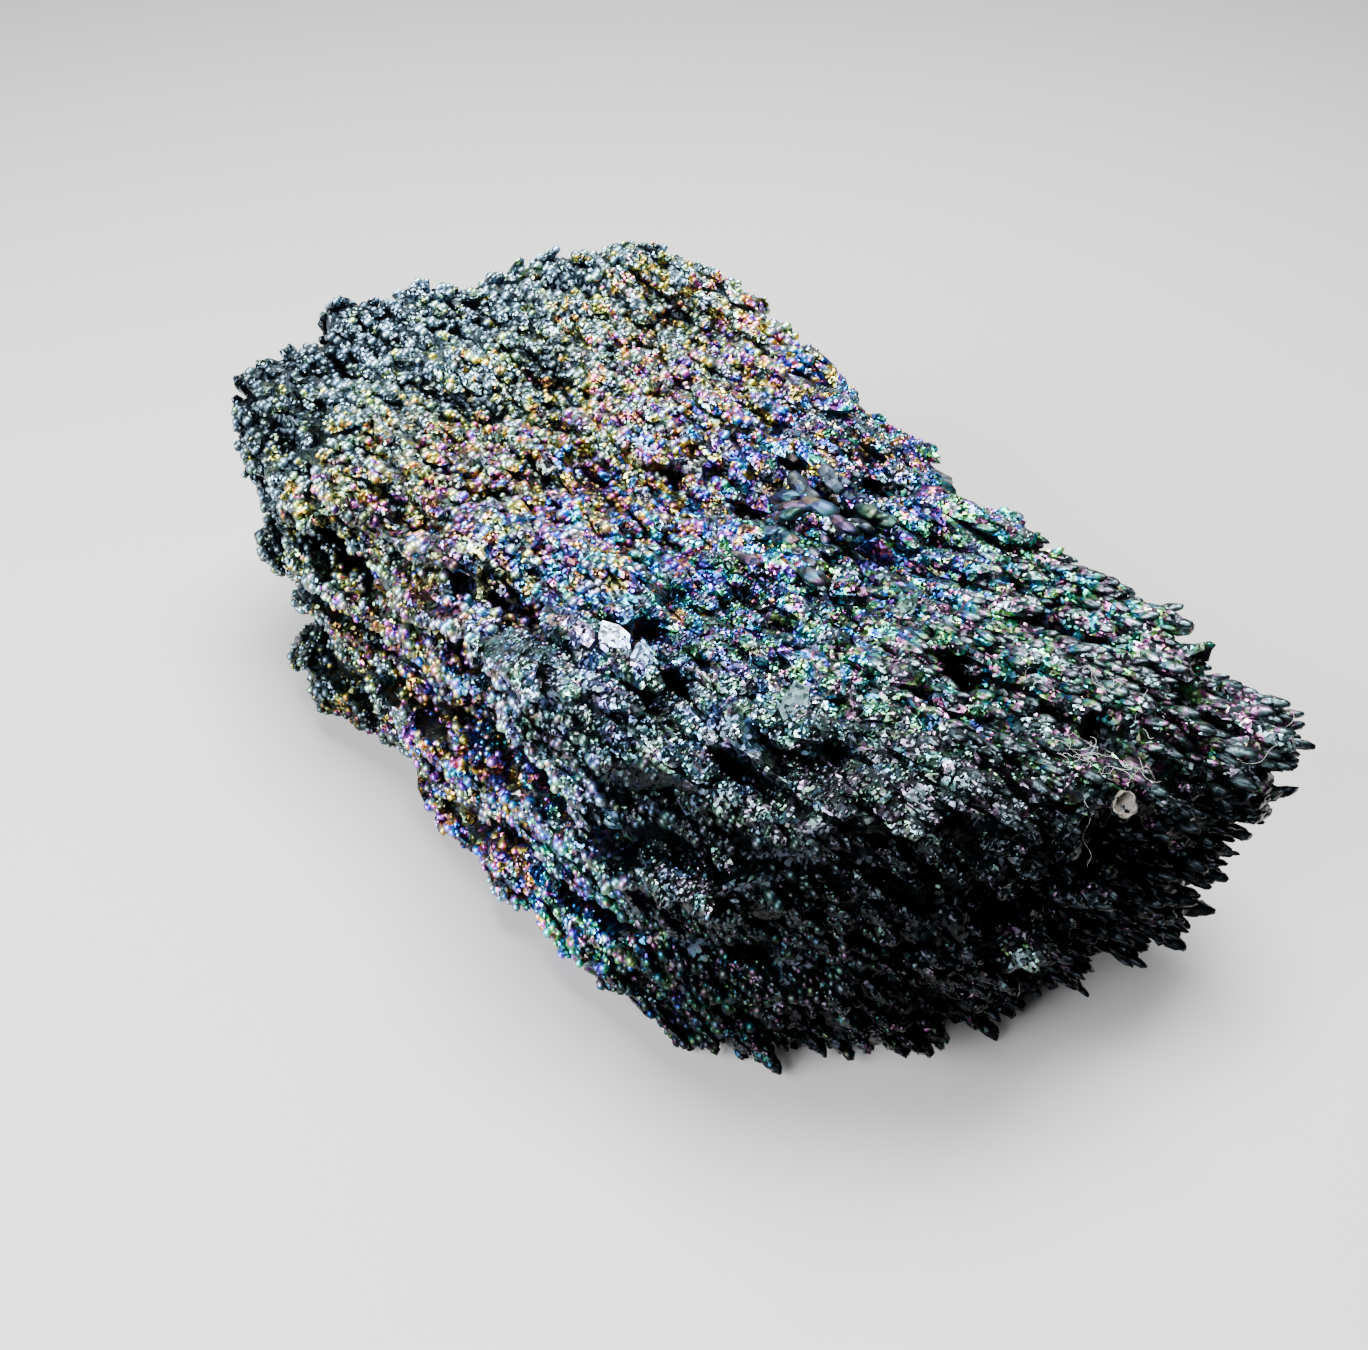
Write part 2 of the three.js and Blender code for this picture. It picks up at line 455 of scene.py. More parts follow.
@dataclass(frozen=True)
class CrystalFinish:
    """Silicon carbide with a thin film of silica on it.

    The crystal reflects like a dark metal, and light that crosses the film and comes back tints the glints.
    The film thickens along the block, so the tints run through the interference colours in their order:
    steel blue, gold, orange, pink, violet, blue, cyan, green. The facets' brightness is painted light: most
    are painted dark, as painted shade for facets that look into the dark between the crystals, and a few
    painted bright, as painted glints.
    """

    name: str
    # The facets: their size, how far they tilt, how rough and bright they are, and how few of them get a
    # painted glint.
    facet: float = 0.55 * MM
    tilt: float = 0.6
    roughness: float = 0.2
    brightness: float = 1.0
    glint_rarity: float = 1.3
    # The film: how far it thickens from foot to tip, and the least and the most of it that shows.
    sweep: float = 0.16
    least_film: float = 0.2
    most_film: float = 1.0
    # How much painted shade darkens the darkest clumps, and how much brightness the painted shade of the
    # hollows leaves.
    clump_shade: float = 0.35
    hollow_shade: float = 0.03
    # The sizes of a crystal, of a clump of them and of a patch of film.
    crystal: float = 1.6 * MM
    clump: float = 4 * MM
    patch: float = 9 * MM
    # How far the film's thickness varies from patch to patch, facet to facet and crystal to crystal.
    patch_drift: float = 0.24
    facet_drift: float = 0.10
    crystal_drift: float = 0.36
    # The way that the film thickens and how far along, the part of the block that is bare, and the parts
    # painted darker as shade.
    thickens: Point = (1.0, 0.2, 0.0)
    thickens_to: float = 90 * MM
    bare_corner: Fade = Fade((-0.5, 1.0, -0.9), -95 * MM, -66 * MM, 0.4, 1.0)
    painted_end_shade: Fade = Fade((1.0, -0.15, -0.2), 0.18, 0.5, 1.0, 0.12)
    painted_corner_shade: Fade = Fade((1.0, -0.5, 0.0), 48 * MM, 72 * MM, 1.0, 0.27)
    painted_shade_far_left: Fade = Fade((-1.0, -0.8, -0.6), 46 * MM, 70 * MM, 1.0, 0.35)
    silver: str = "#9cb2bc"
    dark: str = "#060709"
    film: tuple[FilmStop, ...] = (
        FilmStop(0.00, "#84a4bc"),
        FilmStop(0.20, "#94b6c8"),
        FilmStop(0.30, "#a4d8b0"),
        FilmStop(0.36, "#d8e870"),
        FilmStop(0.41, "#fcd838"),
        FilmStop(0.45, "#fca050"),
        FilmStop(0.49, "#f060c0"),
        FilmStop(0.55, "#8850fc"),
        FilmStop(0.61, "#2c78fc"),
        FilmStop(0.67, "#24ccfc"),
        FilmStop(0.74, "#40e8b8"),
        FilmStop(0.82, "#98e458"),
        FilmStop(0.89, "#ec68c8"),
        FilmStop(1.00, "#8cb8b4"),
    )

    def material(self) -> bpy.types.Material:
        """Builds the material, or finds it where it is built already.

        Returns:
            A node material on Object coordinates.
        """
        if self.name in bpy.data.materials:
            return bpy.data.materials[self.name]
        material, shader = started(self.name, {"Metallic": 1.0, "Roughness": self.roughness})
        tree = material.node_tree
        add = partial(add_node, tree)
        place = add("ShaderNodeTexCoord").outputs["Object"]

        # Each facet is one cell of a Voronoi pattern, with a tilt, a film of its own and a painted
        # brightness: a painted glint on a few facets and painted shade on the rest. Real facets are about 0.3
        # mm across, and are drawn a little coarser so that they show.
        cells = add("ShaderNodeTexVoronoi", {"Vector": place, "Scale": 1 / self.facet})
        luck = add("ShaderNodeSeparateColor", {0: cells.outputs["Color"]})
        even = (0.5, 0.5, 0.5)
        centred = add("ShaderNodeVectorMath", {0: cells.outputs["Color"], 1: even}, operation="SUBTRACT")
        tilt = add("ShaderNodeVectorMath", {0: centred.outputs[0], "Scale": self.tilt}, operation="SCALE")
        facing = add("ShaderNodeNewGeometry").outputs["Normal"]
        tilted = add("ShaderNodeVectorMath", {0: facing, 1: tilt.outputs[0]}, operation="ADD")
        normal = add("ShaderNodeVectorMath", {0: tilted.outputs[0]}, operation="NORMALIZE")
        tree.links.new(normal.outputs[0], shader.inputs["Normal"])

        tinted = self.film_colour(tree, place, luck)
        share = self.painted_light_share(tree, place, luck)
        shade = add("ShaderNodeMix", {0: share, 6: linear(self.dark), 7: tinted}, data_type="RGBA")
        tree.links.new(shade.outputs[2], shader.inputs["Base Color"])
        return material

    def film_colour(self, tree: Tree, place: Socket, luck: bpy.types.Node) -> Socket:
        """Adds the nodes that colour the film.

        Args:
            tree: The material's node tree.
            place: The Object coordinates.
            luck: Three random numbers for each facet.

        Returns:
            The colour's output socket.
        """
        add = partial(add_node, tree)
        along = add("ShaderNodeVectorMath", {0: place, 1: self.thickens}, operation="DOT_PRODUCT")
        span = {"From Min": -self.thickens_to, "From Max": self.thickens_to}
        thickness = add("ShaderNodeMapRange", {"Value": along.outputs["Value"], **span}, clamp=False)
        drift = add("ShaderNodeTexNoise", {"Vector": place, "Scale": 1 / self.patch, "Detail": 3.0})
        crystals = add("ShaderNodeTexVoronoi", {"Vector": place, "Scale": 1 / self.crystal})
        crystal = add("ShaderNodeSeparateColor", {0: crystals.outputs["Color"]})
        # The film also thickens from the foot of each small crystal to its tip.
        tip = add("ShaderNodeAttribute", attribute_name="tip")
        total = thickness.outputs[0]
        for source, amount in (
            (drift.outputs["Fac"], self.patch_drift),
            (luck.outputs[1], self.facet_drift),
            (crystal.outputs[0], self.crystal_drift),
            (tip.outputs["Fac"], self.sweep),
        ):
            moved = add("ShaderNodeMath", {0: source, 1: 0.5}, operation="SUBTRACT").outputs[0]
            added = add("ShaderNodeMath", {0: moved, 1: amount, 2: total}, operation="MULTIPLY_ADD")
            total = added.outputs[0]
        ramp = add("ShaderNodeValToRGB", {"Fac": total})
        stops = ramp.color_ramp.elements
        while len(stops) < len(self.film):
            stops.new(0.5)
        for stop, step in zip(stops, self.film, strict=True):
            stop.position = step.at
            stop.color = linear(step.colour)

        # The film is thin to nothing on the near left of the top, where the crystal is a neutral silver, and
        # everywhere a share of the crystals is bare.
        cover = self.bare_corner.value(tree, place)
        span = {"From Min": 0.1, "From Max": 0.5, "To Min": self.least_film, "To Max": self.most_film}
        coated = add(
            "ShaderNodeMapRange", {"Value": crystal.outputs[1], **span}, interpolation_type="SMOOTHSTEP"
        )
        shown = add("ShaderNodeMath", {0: cover, 1: coated.outputs[0]}, operation="MULTIPLY")
        colours = {6: linear(self.silver), 7: ramp.outputs["Color"]}
        tinted = add("ShaderNodeMix", {0: shown.outputs[0], **colours}, data_type="RGBA")
        return tinted.outputs[2]

    def painted_light_share(self, tree: Tree, place: Socket, luck: bpy.types.Node) -> Socket:
        """Adds the nodes of painted light: how bright each facet is painted, with painted glints and painted
        shade.

        Args:
            tree: The material's node tree.
            place: The Object coordinates.
            luck: Three random numbers for each facet.

        Returns:
            The output socket of a number from 0 to 1.
        """
        add = partial(add_node, tree)
        # A few facets at random are painted bright, as painted glints.
        few = add("ShaderNodeMath", {0: luck.outputs[0], 1: self.glint_rarity}, operation="POWER")
        span = {"To Min": 0.04 * self.brightness, "To Max": self.brightness}
        share = add("ShaderNodeMapRange", {"Value": few.outputs[0], **span})
        # The hollows between the lumps are painted darker, as painted shade. So are the near end, which is
        # told by the way that the block faces, and its left corner. The far end of the left flank is painted
        # darker as shade too.
        stands = add("ShaderNodeAttribute", attribute_name="stands")
        span = {"From Min": -0.7, "From Max": 0.9, "To Min": self.hollow_shade, "To Max": 1.0}
        painted_shade_in_hollows = add(
            "ShaderNodeMapRange", {"Value": stands.outputs["Fac"], **span}, interpolation_type="SMOOTHSTEP"
        )
        facing = add("ShaderNodeAttribute", attribute_name="facing")
        end = self.painted_end_shade.value(tree, facing.outputs["Vector"])
        near = self.painted_corner_shade.value(tree, place)
        far = self.painted_shade_far_left.value(tree, place)
        # The clumps don't all turn to the light alike, so some are painted bright and some painted dark, as
        # painted light and shade. They are drawn out along the growth.
        drawn = add("ShaderNodeVectorMath", {0: place, 1: (0.45, 1.0, 1.0)}, operation="MULTIPLY").outputs[0]
        clumps = add("ShaderNodeTexNoise", {"Vector": drawn, "Scale": 1 / self.clump, "Detail": 2.0})
        span = {"From Min": 0.4, "From Max": 0.6, "To Min": 1 - self.clump_shade, "To Max": 1.0}
        painted_shade_of_clumps = add(
            "ShaderNodeMapRange", {"Value": clumps.outputs["Fac"], **span}, interpolation_type="SMOOTHSTEP"
        )
        total = share.outputs[0]
        for factor in (painted_shade_in_hollows.outputs[0], end, near, far, painted_shade_of_clumps.outputs[0]):
            darker = add("ShaderNodeMath", {0: total, 1: factor}, operation="MULTIPLY")
            total = darker.outputs[0]
        return total


@dataclass(frozen=True)
class DustFinish:
    """A matt, pale organic thing, which takes the light from all sides: cotton lint, or a flake of bran."""

    name: str
    light: str
    dark: str
    patch: float
    roughness: float = 0.8

    def material(self) -> bpy.types.Material:
        """Builds the material, with a little change of tone over it.

        Returns:
            A node material on Object coordinates.
        """
        material, shader = started(self.name, {"Roughness": self.roughness})
        add = partial(add_node, material.node_tree)
        place = add("ShaderNodeTexCoord").outputs["Object"]
        tone = add("ShaderNodeTexNoise", {"Vector": place, "Scale": 1 / self.patch, "Detail": 3.0})
        sharp = add("ShaderNodeMapRange", {"Value": tone.outputs["Fac"], "From Min": 0.35, "From Max": 0.65})
        tones = {6: linear(self.dark), 7: linear(self.light)}
        mixed = add("ShaderNodeMix", {0: sharp.outputs[0], **tones}, data_type="RGBA")
        material.node_tree.links.new(mixed.outputs[2], shader.inputs["Base Color"])
        return material


# The core is painted dim, as painted shade, since it shows only in the gaps.
CORE_FINISH = CrystalFinish("silicon_carbide_core", roughness=0.3, brightness=0.3)
# The lumps are nearly black, with a few facets painted bright as glints.
LUMP_FINISH = CrystalFinish(
    "silicon_carbide_lumps", facet=0.45 * MM, tilt=0.7, roughness=0.3, glint_rarity=2.6, clump_shade=0.6
)
# Most of the beads' facets are painted bright, so each is one soft spot of colour.
BEAD_FINISH = CrystalFinish(
    "silicon_carbide_film", facet=1.3 * MM, tilt=0.1, roughness=0.42, glint_rarity=0.45, clump_shade=0.2, hollow_shade=0.2
)
# The fine crystals of the near top glitter like sugar, from their tilted facets and painted glints, in
# patches painted bright and dark as light and shade.
SUGAR_FINISH = CrystalFinish(
    "silicon_carbide_sugar", facet=0.42 * MM, tilt=0.5, roughness=0.3, glint_rarity=0.85, clump_shade=0.85
)
# The long drops change colour from the foot to the tip, and shine a little less than the beads.
TIP_FINISH = CrystalFinish(
    "silicon_carbide_tips",
    facet=0.5 * MM,
    tilt=0.25,
    roughness=0.42,
    brightness=0.45,
    glint_rarity=1.0,
    sweep=0.4,
    most_film=0.75,
    clump_shade=0.65,
)
# The bare crystals round the pits are smooth and grey, with little film.
SMOOTH_FINISH = CrystalFinish(
    "silicon_carbide_smooth",
    facet=1.2 * MM,
    tilt=0.3,
    roughness=0.5,
    brightness=0.16,
    glint_rarity=0.8,
    sweep=0.1,
    least_film=0.1,
    most_film=0.45,
    crystal=5 * MM,
)
# The broad faces are even, and their light is painted: this copy is painted black as shade, for those that
# look into the dark.
SHADED_FACES_FINISH = CrystalFinish(
    "silicon_carbide_shaded_faces_painted",
    facet=0.5 * MM,
    tilt=0.3,
    roughness=0.3,
    brightness=0.045,
    glint_rarity=0.5,
    sweep=0.0,
    crystal=9 * MM,
)
# The same faces painted pale as lit, for those that catch the light.
LIT_FACES_FINISH = CrystalFinish(
    "silicon_carbide_lit_faces_painted",
    facet=0.5 * MM,
    tilt=0.45,
    roughness=0.3,
    brightness=0.75,
    glint_rarity=0.9,
    sweep=0.0,
    crystal=9 * MM,
)
LINT_FINISH = DustFinish("cotton_lint", "#9a9792", "#6c6a66", 2 * MM)
BRAN_FINISH = DustFinish("bran", "#4a443a", "#1e1b17", 0.5 * MM)


@dataclass(frozen=True)
class Growth:
    """The way the crystals grew: along the strata, and fanning out a little to the right at the near end."""

    # The rise of the strata towards the near end, and the turn to the right everywhere and at the near right.
    slope: float = 0.3
    drift: float = -0.02
    fan: float = 0.36

    def directions(self, points: np.ndarray, facing: np.ndarray) -> np.ndarray:
        """Finds the way that the crystals point at each place.

        Args:
            points: Places on the block.
            facing: The outward direction at each.

        Returns:
            One unit vector for each place, laid into the surface towards the far end.
        """
        near = rise(points[:, 0], -20 * MM, 100 * MM)
        side = self.drift + near * self.fan * rise(points[:, 1], -10 * MM, 55 * MM)
        flank = 1 - rise(np.abs(facing[:, 2]), 0.3, 0.4)
        grew = unit(np.stack([np.ones(len(points)), side, self.slope * flank], 1))
        # Near the near end they stand out of the surface, and elsewhere they lie along it.
        outward = (grew * facing).sum(1)
        laid = np.where(outward < 0, 1.0, 1 - rise(points[:, 0], -10 * MM, 50 * MM))
        return unit(grew - facing * (outward * laid)[:, None])


@dataclass(frozen=True)
class Slits:
    """The pattern of the narrow gaps between lumps: the way they run, and its scales along, across and up."""

    along: Point
    scales: Point

    def noise(self, points: np.ndarray) -> np.ndarray:
        """Gives the pattern's value at each place.

        Args:
            points: Places on the surface.

        Returns:
            One number for each, about -1 to 1.
        """
        along = Vector(self.along).normalized()
        across = Vector((0, 0, 1)).cross(along).normalized()
        axes = np.array([along, across, along.cross(across)]) / np.array(self.scales)[:, None]
        return np.array([noise.noise(Vector(p)) for p in points @ axes.T])


@dataclass(frozen=True)
class Groove:
    """A groove between two strata: its height at the block's middle, and its size."""

    level: float
    depth: float
    half_width: float


@dataclass(frozen=True)
class Bulge:
    """A place where the crystals grew further out: its middle, how far it spreads, and its height."""

    middle: Point
    spread: float
    height: float


@dataclass(frozen=True)
class Pit:
    """A hollow where no lumps grew: its middle and its radius."""

    middle: Point
    radius: float


@dataclass
class Core:
    """The body under the lumps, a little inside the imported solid, with grooves between its strata."""

    # The size of a face, first of the solid's skin and then of the core.
    skin_grid: float = 1.2 * MM
    grid: float = 1.0 * MM
    # How far the skin is drawn in, how much more on top, and how far a tooth stands out to stay as it is.
    inset: float = 1.3 * MM
    top_inset: float = 0.7 * MM
    tooth: float = 2.5 * MM
    strata: tuple[Groove, ...] = (
        Groove(51 * MM, 7 * MM, 1.8 * MM),
        Groove(42 * MM, 9 * MM, 2.3 * MM),
        Groove(33.5 * MM, 8 * MM, 1.8 * MM),
        Groove(24.5 * MM, 9 * MM, 2.3 * MM),
        Groove(15.5 * MM, 8 * MM, 1.9 * MM),
        Groove(6.5 * MM, 8 * MM, 2.1 * MM),
    )
    bulges: tuple[Bulge, ...] = (
        Bulge((-80 * MM, -28 * MM, 47 * MM), 8 * MM, 4.5 * MM),
        Bulge((-79 * MM, -16 * MM, 50 * MM), 8 * MM, 4.5 * MM),
        Bulge((-77 * MM, -5 * MM, 52 * MM), 8 * MM, 3.5 * MM),
        Bulge((-60 * MM, -44 * MM, 30 * MM), 8 * MM, 0.8 * MM),
        Bulge((76 * MM, 38 * MM, 42 * MM), 8 * MM, 2.5 * MM),
    )
    pits: tuple[Pit, ...] = (
        Pit((5.9 * MM, 9.9 * MM, 50 * MM), 5.2 * MM),
        Pit((12.2 * MM, 19.0 * MM, 50 * MM), 4.6 * MM),
        Pit((3.9 * MM, -34.3 * MM, 47 * MM), 3.2 * MM),
        Pit((14.5 * MM, -28.8 * MM, 49 * MM), 3.2 * MM),
        Pit((29.6 * MM, -29.2 * MM, 47 * MM), 3.2 * MM),
        Pit((49.8 * MM, 29.0 * MM, 49 * MM), 3.8 * MM),
        Pit((66.2 * MM, 32.1 * MM, 47 * MM), 3.4 * MM),
    )
    # Where along the block the strata begin to rise, and how far each groove wanders.
    rise_starts: float = -12 * MM
    wander: float = 2.4 * MM
    top_slits: Slits = Slits((1, 0.4, 0), (14 * MM, 3.4 * MM, 30 * MM))
    flank_slits: Slits = Slits((1, 0.1, 0.3), (16 * MM, 30 * MM, 3.4 * MM))
    void_depth: float = 3.2 * MM
    void_level: float = 0.40
    swell: float = 1.3 * MM
    swells_over: float = 3.2 * MM
    most_triangles: int = 60_000
    rounds: int = 50
    growth: Growth = field(default_factory=Growth)
    mesh: bpy.types.Mesh | None = None
    level: BVHTree | None = None

    def build(self, finish: bpy.types.Material) -> bpy.types.Object:
        """Builds the core.

        Args:
            finish: Its material.

        Returns:
            The finished piece.
        """
        mesh = remeshed(self.shrunk(), self.grid, "core")
        mesh = thinned(mesh, self.most_triangles, "core")
        relaxed, facing = self.dress(mesh)
        self.lay_out(mesh, relaxed, facing)
        self.mesh = mesh
        faces = [tuple(f.vertices) for f in mesh.polygons]
        self.level = BVHTree.FromPolygons([Vector(p) for p in relaxed], faces)
        return finished("core", mesh, finish)

    def shrunk(self) -> bpy.types.Mesh:
        """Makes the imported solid's skin anew with even faces, and draws it in where lumps will stand.

        Returns:
            The new mesh, with its folds not yet mended.
        """
        shape = bmesh.new()
        shape.from_mesh(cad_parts[NODE].data)
        bmesh.ops.remove_doubles(shape, verts=shape.verts, dist=0.001 * MM)
        mesh = remeshed(mesh_of(shape, "core"), self.skin_grid, "core")
        points = points_of(mesh)
        relaxed, facing = settled(mesh, 20)
        stands = ((points - relaxed) * facing).sum(1)
        kept = rise(stands, 0.5 * MM, self.tooth)
        top = rise(facing[:, 2], 0.3, 0.4)
        depth = (self.inset + self.top_inset * top) * (1 - kept)
        depth += self.grooves(points, facing) + self.void_depth * self.voids(points, facing)
        depth -= self.ropes(points, facing)
        for bulge in self.bulges:
            away = np.linalg.norm(points - np.array(bulge.middle), axis=1) / bulge.spread
            depth -= bulge.height * np.exp(-(away**2))
        points = points - facing * depth[:, None]
        points[points[:, 2] < 0, 2] = 0
        set_points(mesh, points)
        return mesh

    def gaps(self, points: np.ndarray) -> list[tuple[Groove, np.ndarray, np.ndarray]]:
        """Finds where each place lies against each groove.

        Args:
            points: Places on the surface.

        Returns:
            Each groove, how far each place is from its wandering middle, and how open it is there, 0 to 1.
        """
        stratum = points[:, 2] - self.growth.slope * np.maximum(points[:, 0], self.rise_starts)
        found = []
        # Each groove wanders up and down by a noise of its own, and breaks off here and there.
        for groove in self.strata:
            path = [Vector((x / (26 * MM), groove.level / (7 * MM), y / (40 * MM))) for x, y in points[:, :2]]
            wander = self.wander * np.array([noise.noise(p) for p in path])
            broken = rise(np.array([noise.noise(p * 1.3 + Vector((5, 3, 8))) for p in path]), -0.6, 0.3)
            found.append((groove, np.abs(stratum - groove.level - wander), broken))
        return found

    @staticmethod
    def flank(facing: np.ndarray) -> np.ndarray:
        """Says how far the strata show at each place.

        Args:
            facing: The outward direction at each.

        Returns:
            0 to 1: most on the left flank, less on the right and where it faces down, little on the end.
        """
        sides = rise(-facing[:, 1], 0.15, 0.35) + 0.6 * rise(facing[:, 1], 0.3, 0.3)
        corner = rise(facing[:, 0], 0.3, 0.35)
        return sides * (1 - 0.55 * rise(-facing[:, 2], 0.05, 0.4)) * (1 - 0.85 * corner)

    def grooves(self, points: np.ndarray, facing: np.ndarray) -> np.ndarray:
        """Finds how deep the grooves between the strata are.

        Args:
            points: Places on the surface.
            facing: The outward direction at each.

        Returns:
            One depth for each place. The grooves run along the flanks, and fade at the far end and the foot.
        """
        far = rise(-points[:, 0], 46 * MM, 18 * MM)
        foot = rise(points[:, 2], 2 * MM, 6 * MM)
        depth = np.zeros(len(points))
        for groove, away, broken in self.gaps(points):
            depth = np.maximum(depth, groove.depth * broken * np.exp(-((away / groove.half_width) ** 2)))
        return depth * self.flank(facing) * (1 - 0.75 * far) * foot

    def ropes(self, points: np.ndarray, facing: np.ndarray) -> np.ndarray:
        """Finds how far each stratum swells out between its grooves, like a rope."""
        nearest = np.min([away for _, away, _ in self.gaps(points)], axis=0)
        return self.swell * rise(nearest, 0, self.swells_over) * self.flank(facing)

    def pattern(self, points: np.ndarray, facing: np.ndarray, size: float) -> np.ndarray:
        """Gives a pattern that is drawn out along the growth, on the top and on the flanks.

        Args:
            points: Places on the surface.
            facing: The outward direction at each.
            size: The pattern's size, of which 1 is the slits' own.

        Returns:
            One value for each place, about -1 to 1.
        """
        top = rise(facing[:, 2], 0.3, 0.3)
        values = np.zeros(len(points))
        for share, slits in ((top, self.top_slits), (1 - top, self.flank_slits)):
            used = share > 0.01
            values[used] += share[used] * slits.noise(points[used] / size)
        return values

    def voids(self, points: np.ndarray, facing: np.ndarray) -> np.ndarray:
        """Finds the voids between lumps, fewer at the far end and more on the near top.

        Args:
            points: Places on the surface.
            facing: The outward direction at each.

        Returns:
            1 inside a void and 0 outside, for each place.
        """
        far = 1 - rise(points[:, 0], -60 * MM, 70 * MM)
        ragged = self.pattern(points, facing, 1.0) + 0.5 * self.pattern(points + 0.1, facing, 0.45)
        near = rise(points @ np.array((1.0, 0.4, 0.0)), 5 * MM, 20 * MM) * rise(facing[:, 2], 0.3, 0.3)
        opened = rise(-ragged - self.void_level - 0.4 * far + 0.12 * near, 0, 0.14)
        for pit in self.pits:
            away = np.linalg.norm(points - np.array(pit.middle), axis=1) / pit.radius
            opened = np.maximum(opened, 1 - rise(away, 0.5, 0.5))
        return opened

    def measure(self, mesh: bpy.types.Mesh) -> None:
        """Stores how far each vertex of some lumps stands over the smoothed block, in steps.

        Args:
            mesh: The lumps.
        """
        points, facing = points_of(mesh), read(mesh, "facing", 3)
        nearest = np.array([self.level.find_nearest(Vector(p))[0] for p in points])
        store(mesh, "stands", ((points - nearest) * facing).sum(1) / STEP)

    def dress(self, mesh: bpy.types.Mesh) -> tuple[np.ndarray, np.ndarray]:
        """Stores what the lumps, the crystals and the finish need to know at each vertex.

        Args:
            mesh: The core.

        Returns:
            Its vertices on the smoothed block, and their outward directions.
        """
        points = points_of(mesh)
        relaxed, facing = settled(mesh, self.rounds)
        store(mesh, "facing", facing)
        store(mesh, "growth", self.growth.directions(points, facing))
        cut = rise(self.grooves(points, facing), 0.8 * MM, 1.2 * MM)
        store(mesh, "void", np.maximum(cut, self.voids(points, facing)))
        store(mesh, "stands", ((points - relaxed) * facing).sum(1) / STEP)
        store(mesh, "tip", np.full(len(points), 0.5))
        return relaxed, facing

    def lay_out(self, mesh: bpy.types.Mesh, relaxed: np.ndarray, facing: np.ndarray) -> None:
        """Lays the surface out flat, one chart for each side of the block.

        Args:
            mesh: The mesh that gets the map.
            relaxed: Its vertices on the smoothed block.
            facing: Their outward directions.
        """
        count = len(mesh.polygons)
        corners = corners_of(mesh)
        face_of = np.repeat(np.arange(count), gathered(mesh.polygons, "loop_total", kind=np.int32))
        sides = np.stack([np.bincount(face_of, facing[corners, k], count) for k in range(3)], 1)
        axis = np.abs(sides).argmax(1)
        positive = sides[np.arange(count), axis] > 0
        low, high = relaxed.min(0), relaxed.max(0)
        size = high - low
        gap = 2 * MM
        wide = size[0] + size[1] + 2 * gap
        tall = 2 * size[1] + 2 * size[2] + 5 * gap
        scale = 1 / max(wide, tall)
        rows = {(2, True): 0.0, (2, False): size[1] + gap, (1, True): 2 * (size[1] + gap)}
        rows[(1, False)] = rows[(1, True)] + size[2] + gap
        uv = np.empty((len(corners), 2))
        at = relaxed[corners] - low
        for side in ((2, True), (2, False), (1, True), (1, False), (0, True), (0, False)):
            chosen = ((axis == side[0]) & (positive == side[1]))[face_of]
            if side[0] == 0:
                start = (size[0] + gap, 0.0 if side[1] else size[2] + gap)
                pair = at[chosen][:, [1, 2]]
            else:
                start = (0.0, rows[side])
                pair = at[chosen][:, [0, 1]] if side[0] == 2 else at[chosen][:, [0, 2]]
            uv[chosen] = (pair + np.array(start) + gap / 2) * scale
        layer = mesh.uv_layers.new(name=BAKE_MAP)
        layer.uv.foreach_set("vector", uv.astype(np.float32).ravel())


def lathe(
    shape: Shape,
    rings: list[tuple[float, float]],
    random: Random,
    squash: float,
    sides: int = 6,
    ragged: float = 0.2,
) -> None:
    """Adds a closed many-sided body through the rings, one unit long, with a point at both ends.

    Args:
        shape: The mesh that gets the body.
        rings: Place along X and radius of each ring.
        random: The stream that makes each body a little different.
        squash: The body's thickness over its width.
        sides: How many sides it has.
        ragged: How far its corners stray from round, as a share of the radius.
    """
    ends = [shape.verts.new((x, *random.uniform(-0.05, 0.05, 2))) for x in (-0.5, 0.5)]
    loops = []
    for x, radius in rings:
        ring = []
        for k in range(sides):
            angle = k * math.tau / sides + random.uniform(-0.2, 0.2)
            reach = radius * random.uniform(1 - ragged, 1 + ragged)
            along = x + random.uniform(-0.07, 0.07)
            ring.append(shape.verts.new((along, reach * math.cos(angle), squash * reach * math.sin(angle))))
        loops.append(ring)
    for k in range(sides):
        after = (k + 1) % sides
        shape.faces.new((loops[0][after], loops[0][k], ends[0]))
        shape.faces.new((loops[-1][k], loops[-1][after], ends[1]))
        for lower, upper in zip(loops, loops[1:]):
            shape.faces.new((lower[k], lower[after], upper[after], upper[k]))


def lay_out_form(mesh: bpy.types.Mesh) -> None:
    """Lays a small form out as seen from outside and above, every face with some area.

    Args:
        mesh: The form's mesh.
    """
    points = unit(points_of(mesh) - np.array([0, 0, -0.1]))
    spread = np.sqrt(np.clip(1 - points[:, 2], 0, 2) / 2) / (np.hypot(points[:, 0], points[:, 1]) + 1e-9)
    flat = 0.5 + 0.5 * points[:, :2] * spread[:, None]
    layer = mesh.uv_layers.new(name=BAKE_MAP)
    layer.uv.foreach_set("vector", flat[corners_of(mesh)].astype(np.float32).ravel())


def form_object(shape: Shape, name: str) -> bpy.types.Object:
    """Closes a form's mesh and makes it an object that isn't in the scene.

    Args:
        shape: The form's mesh, used up here.
        name: The object's name.

    Returns:
        The new object.
    """
    bmesh.ops.recalc_face_normals(shape, faces=shape.faces)
    bmesh.ops.triangulate(shape, faces=shape.faces)
    mesh = mesh_of(shape, name)
    lay_out_form(mesh)
    store(mesh, "tip", points_of(mesh)[:, 0] + 0.5)
    return bpy.data.objects.new(name, mesh)


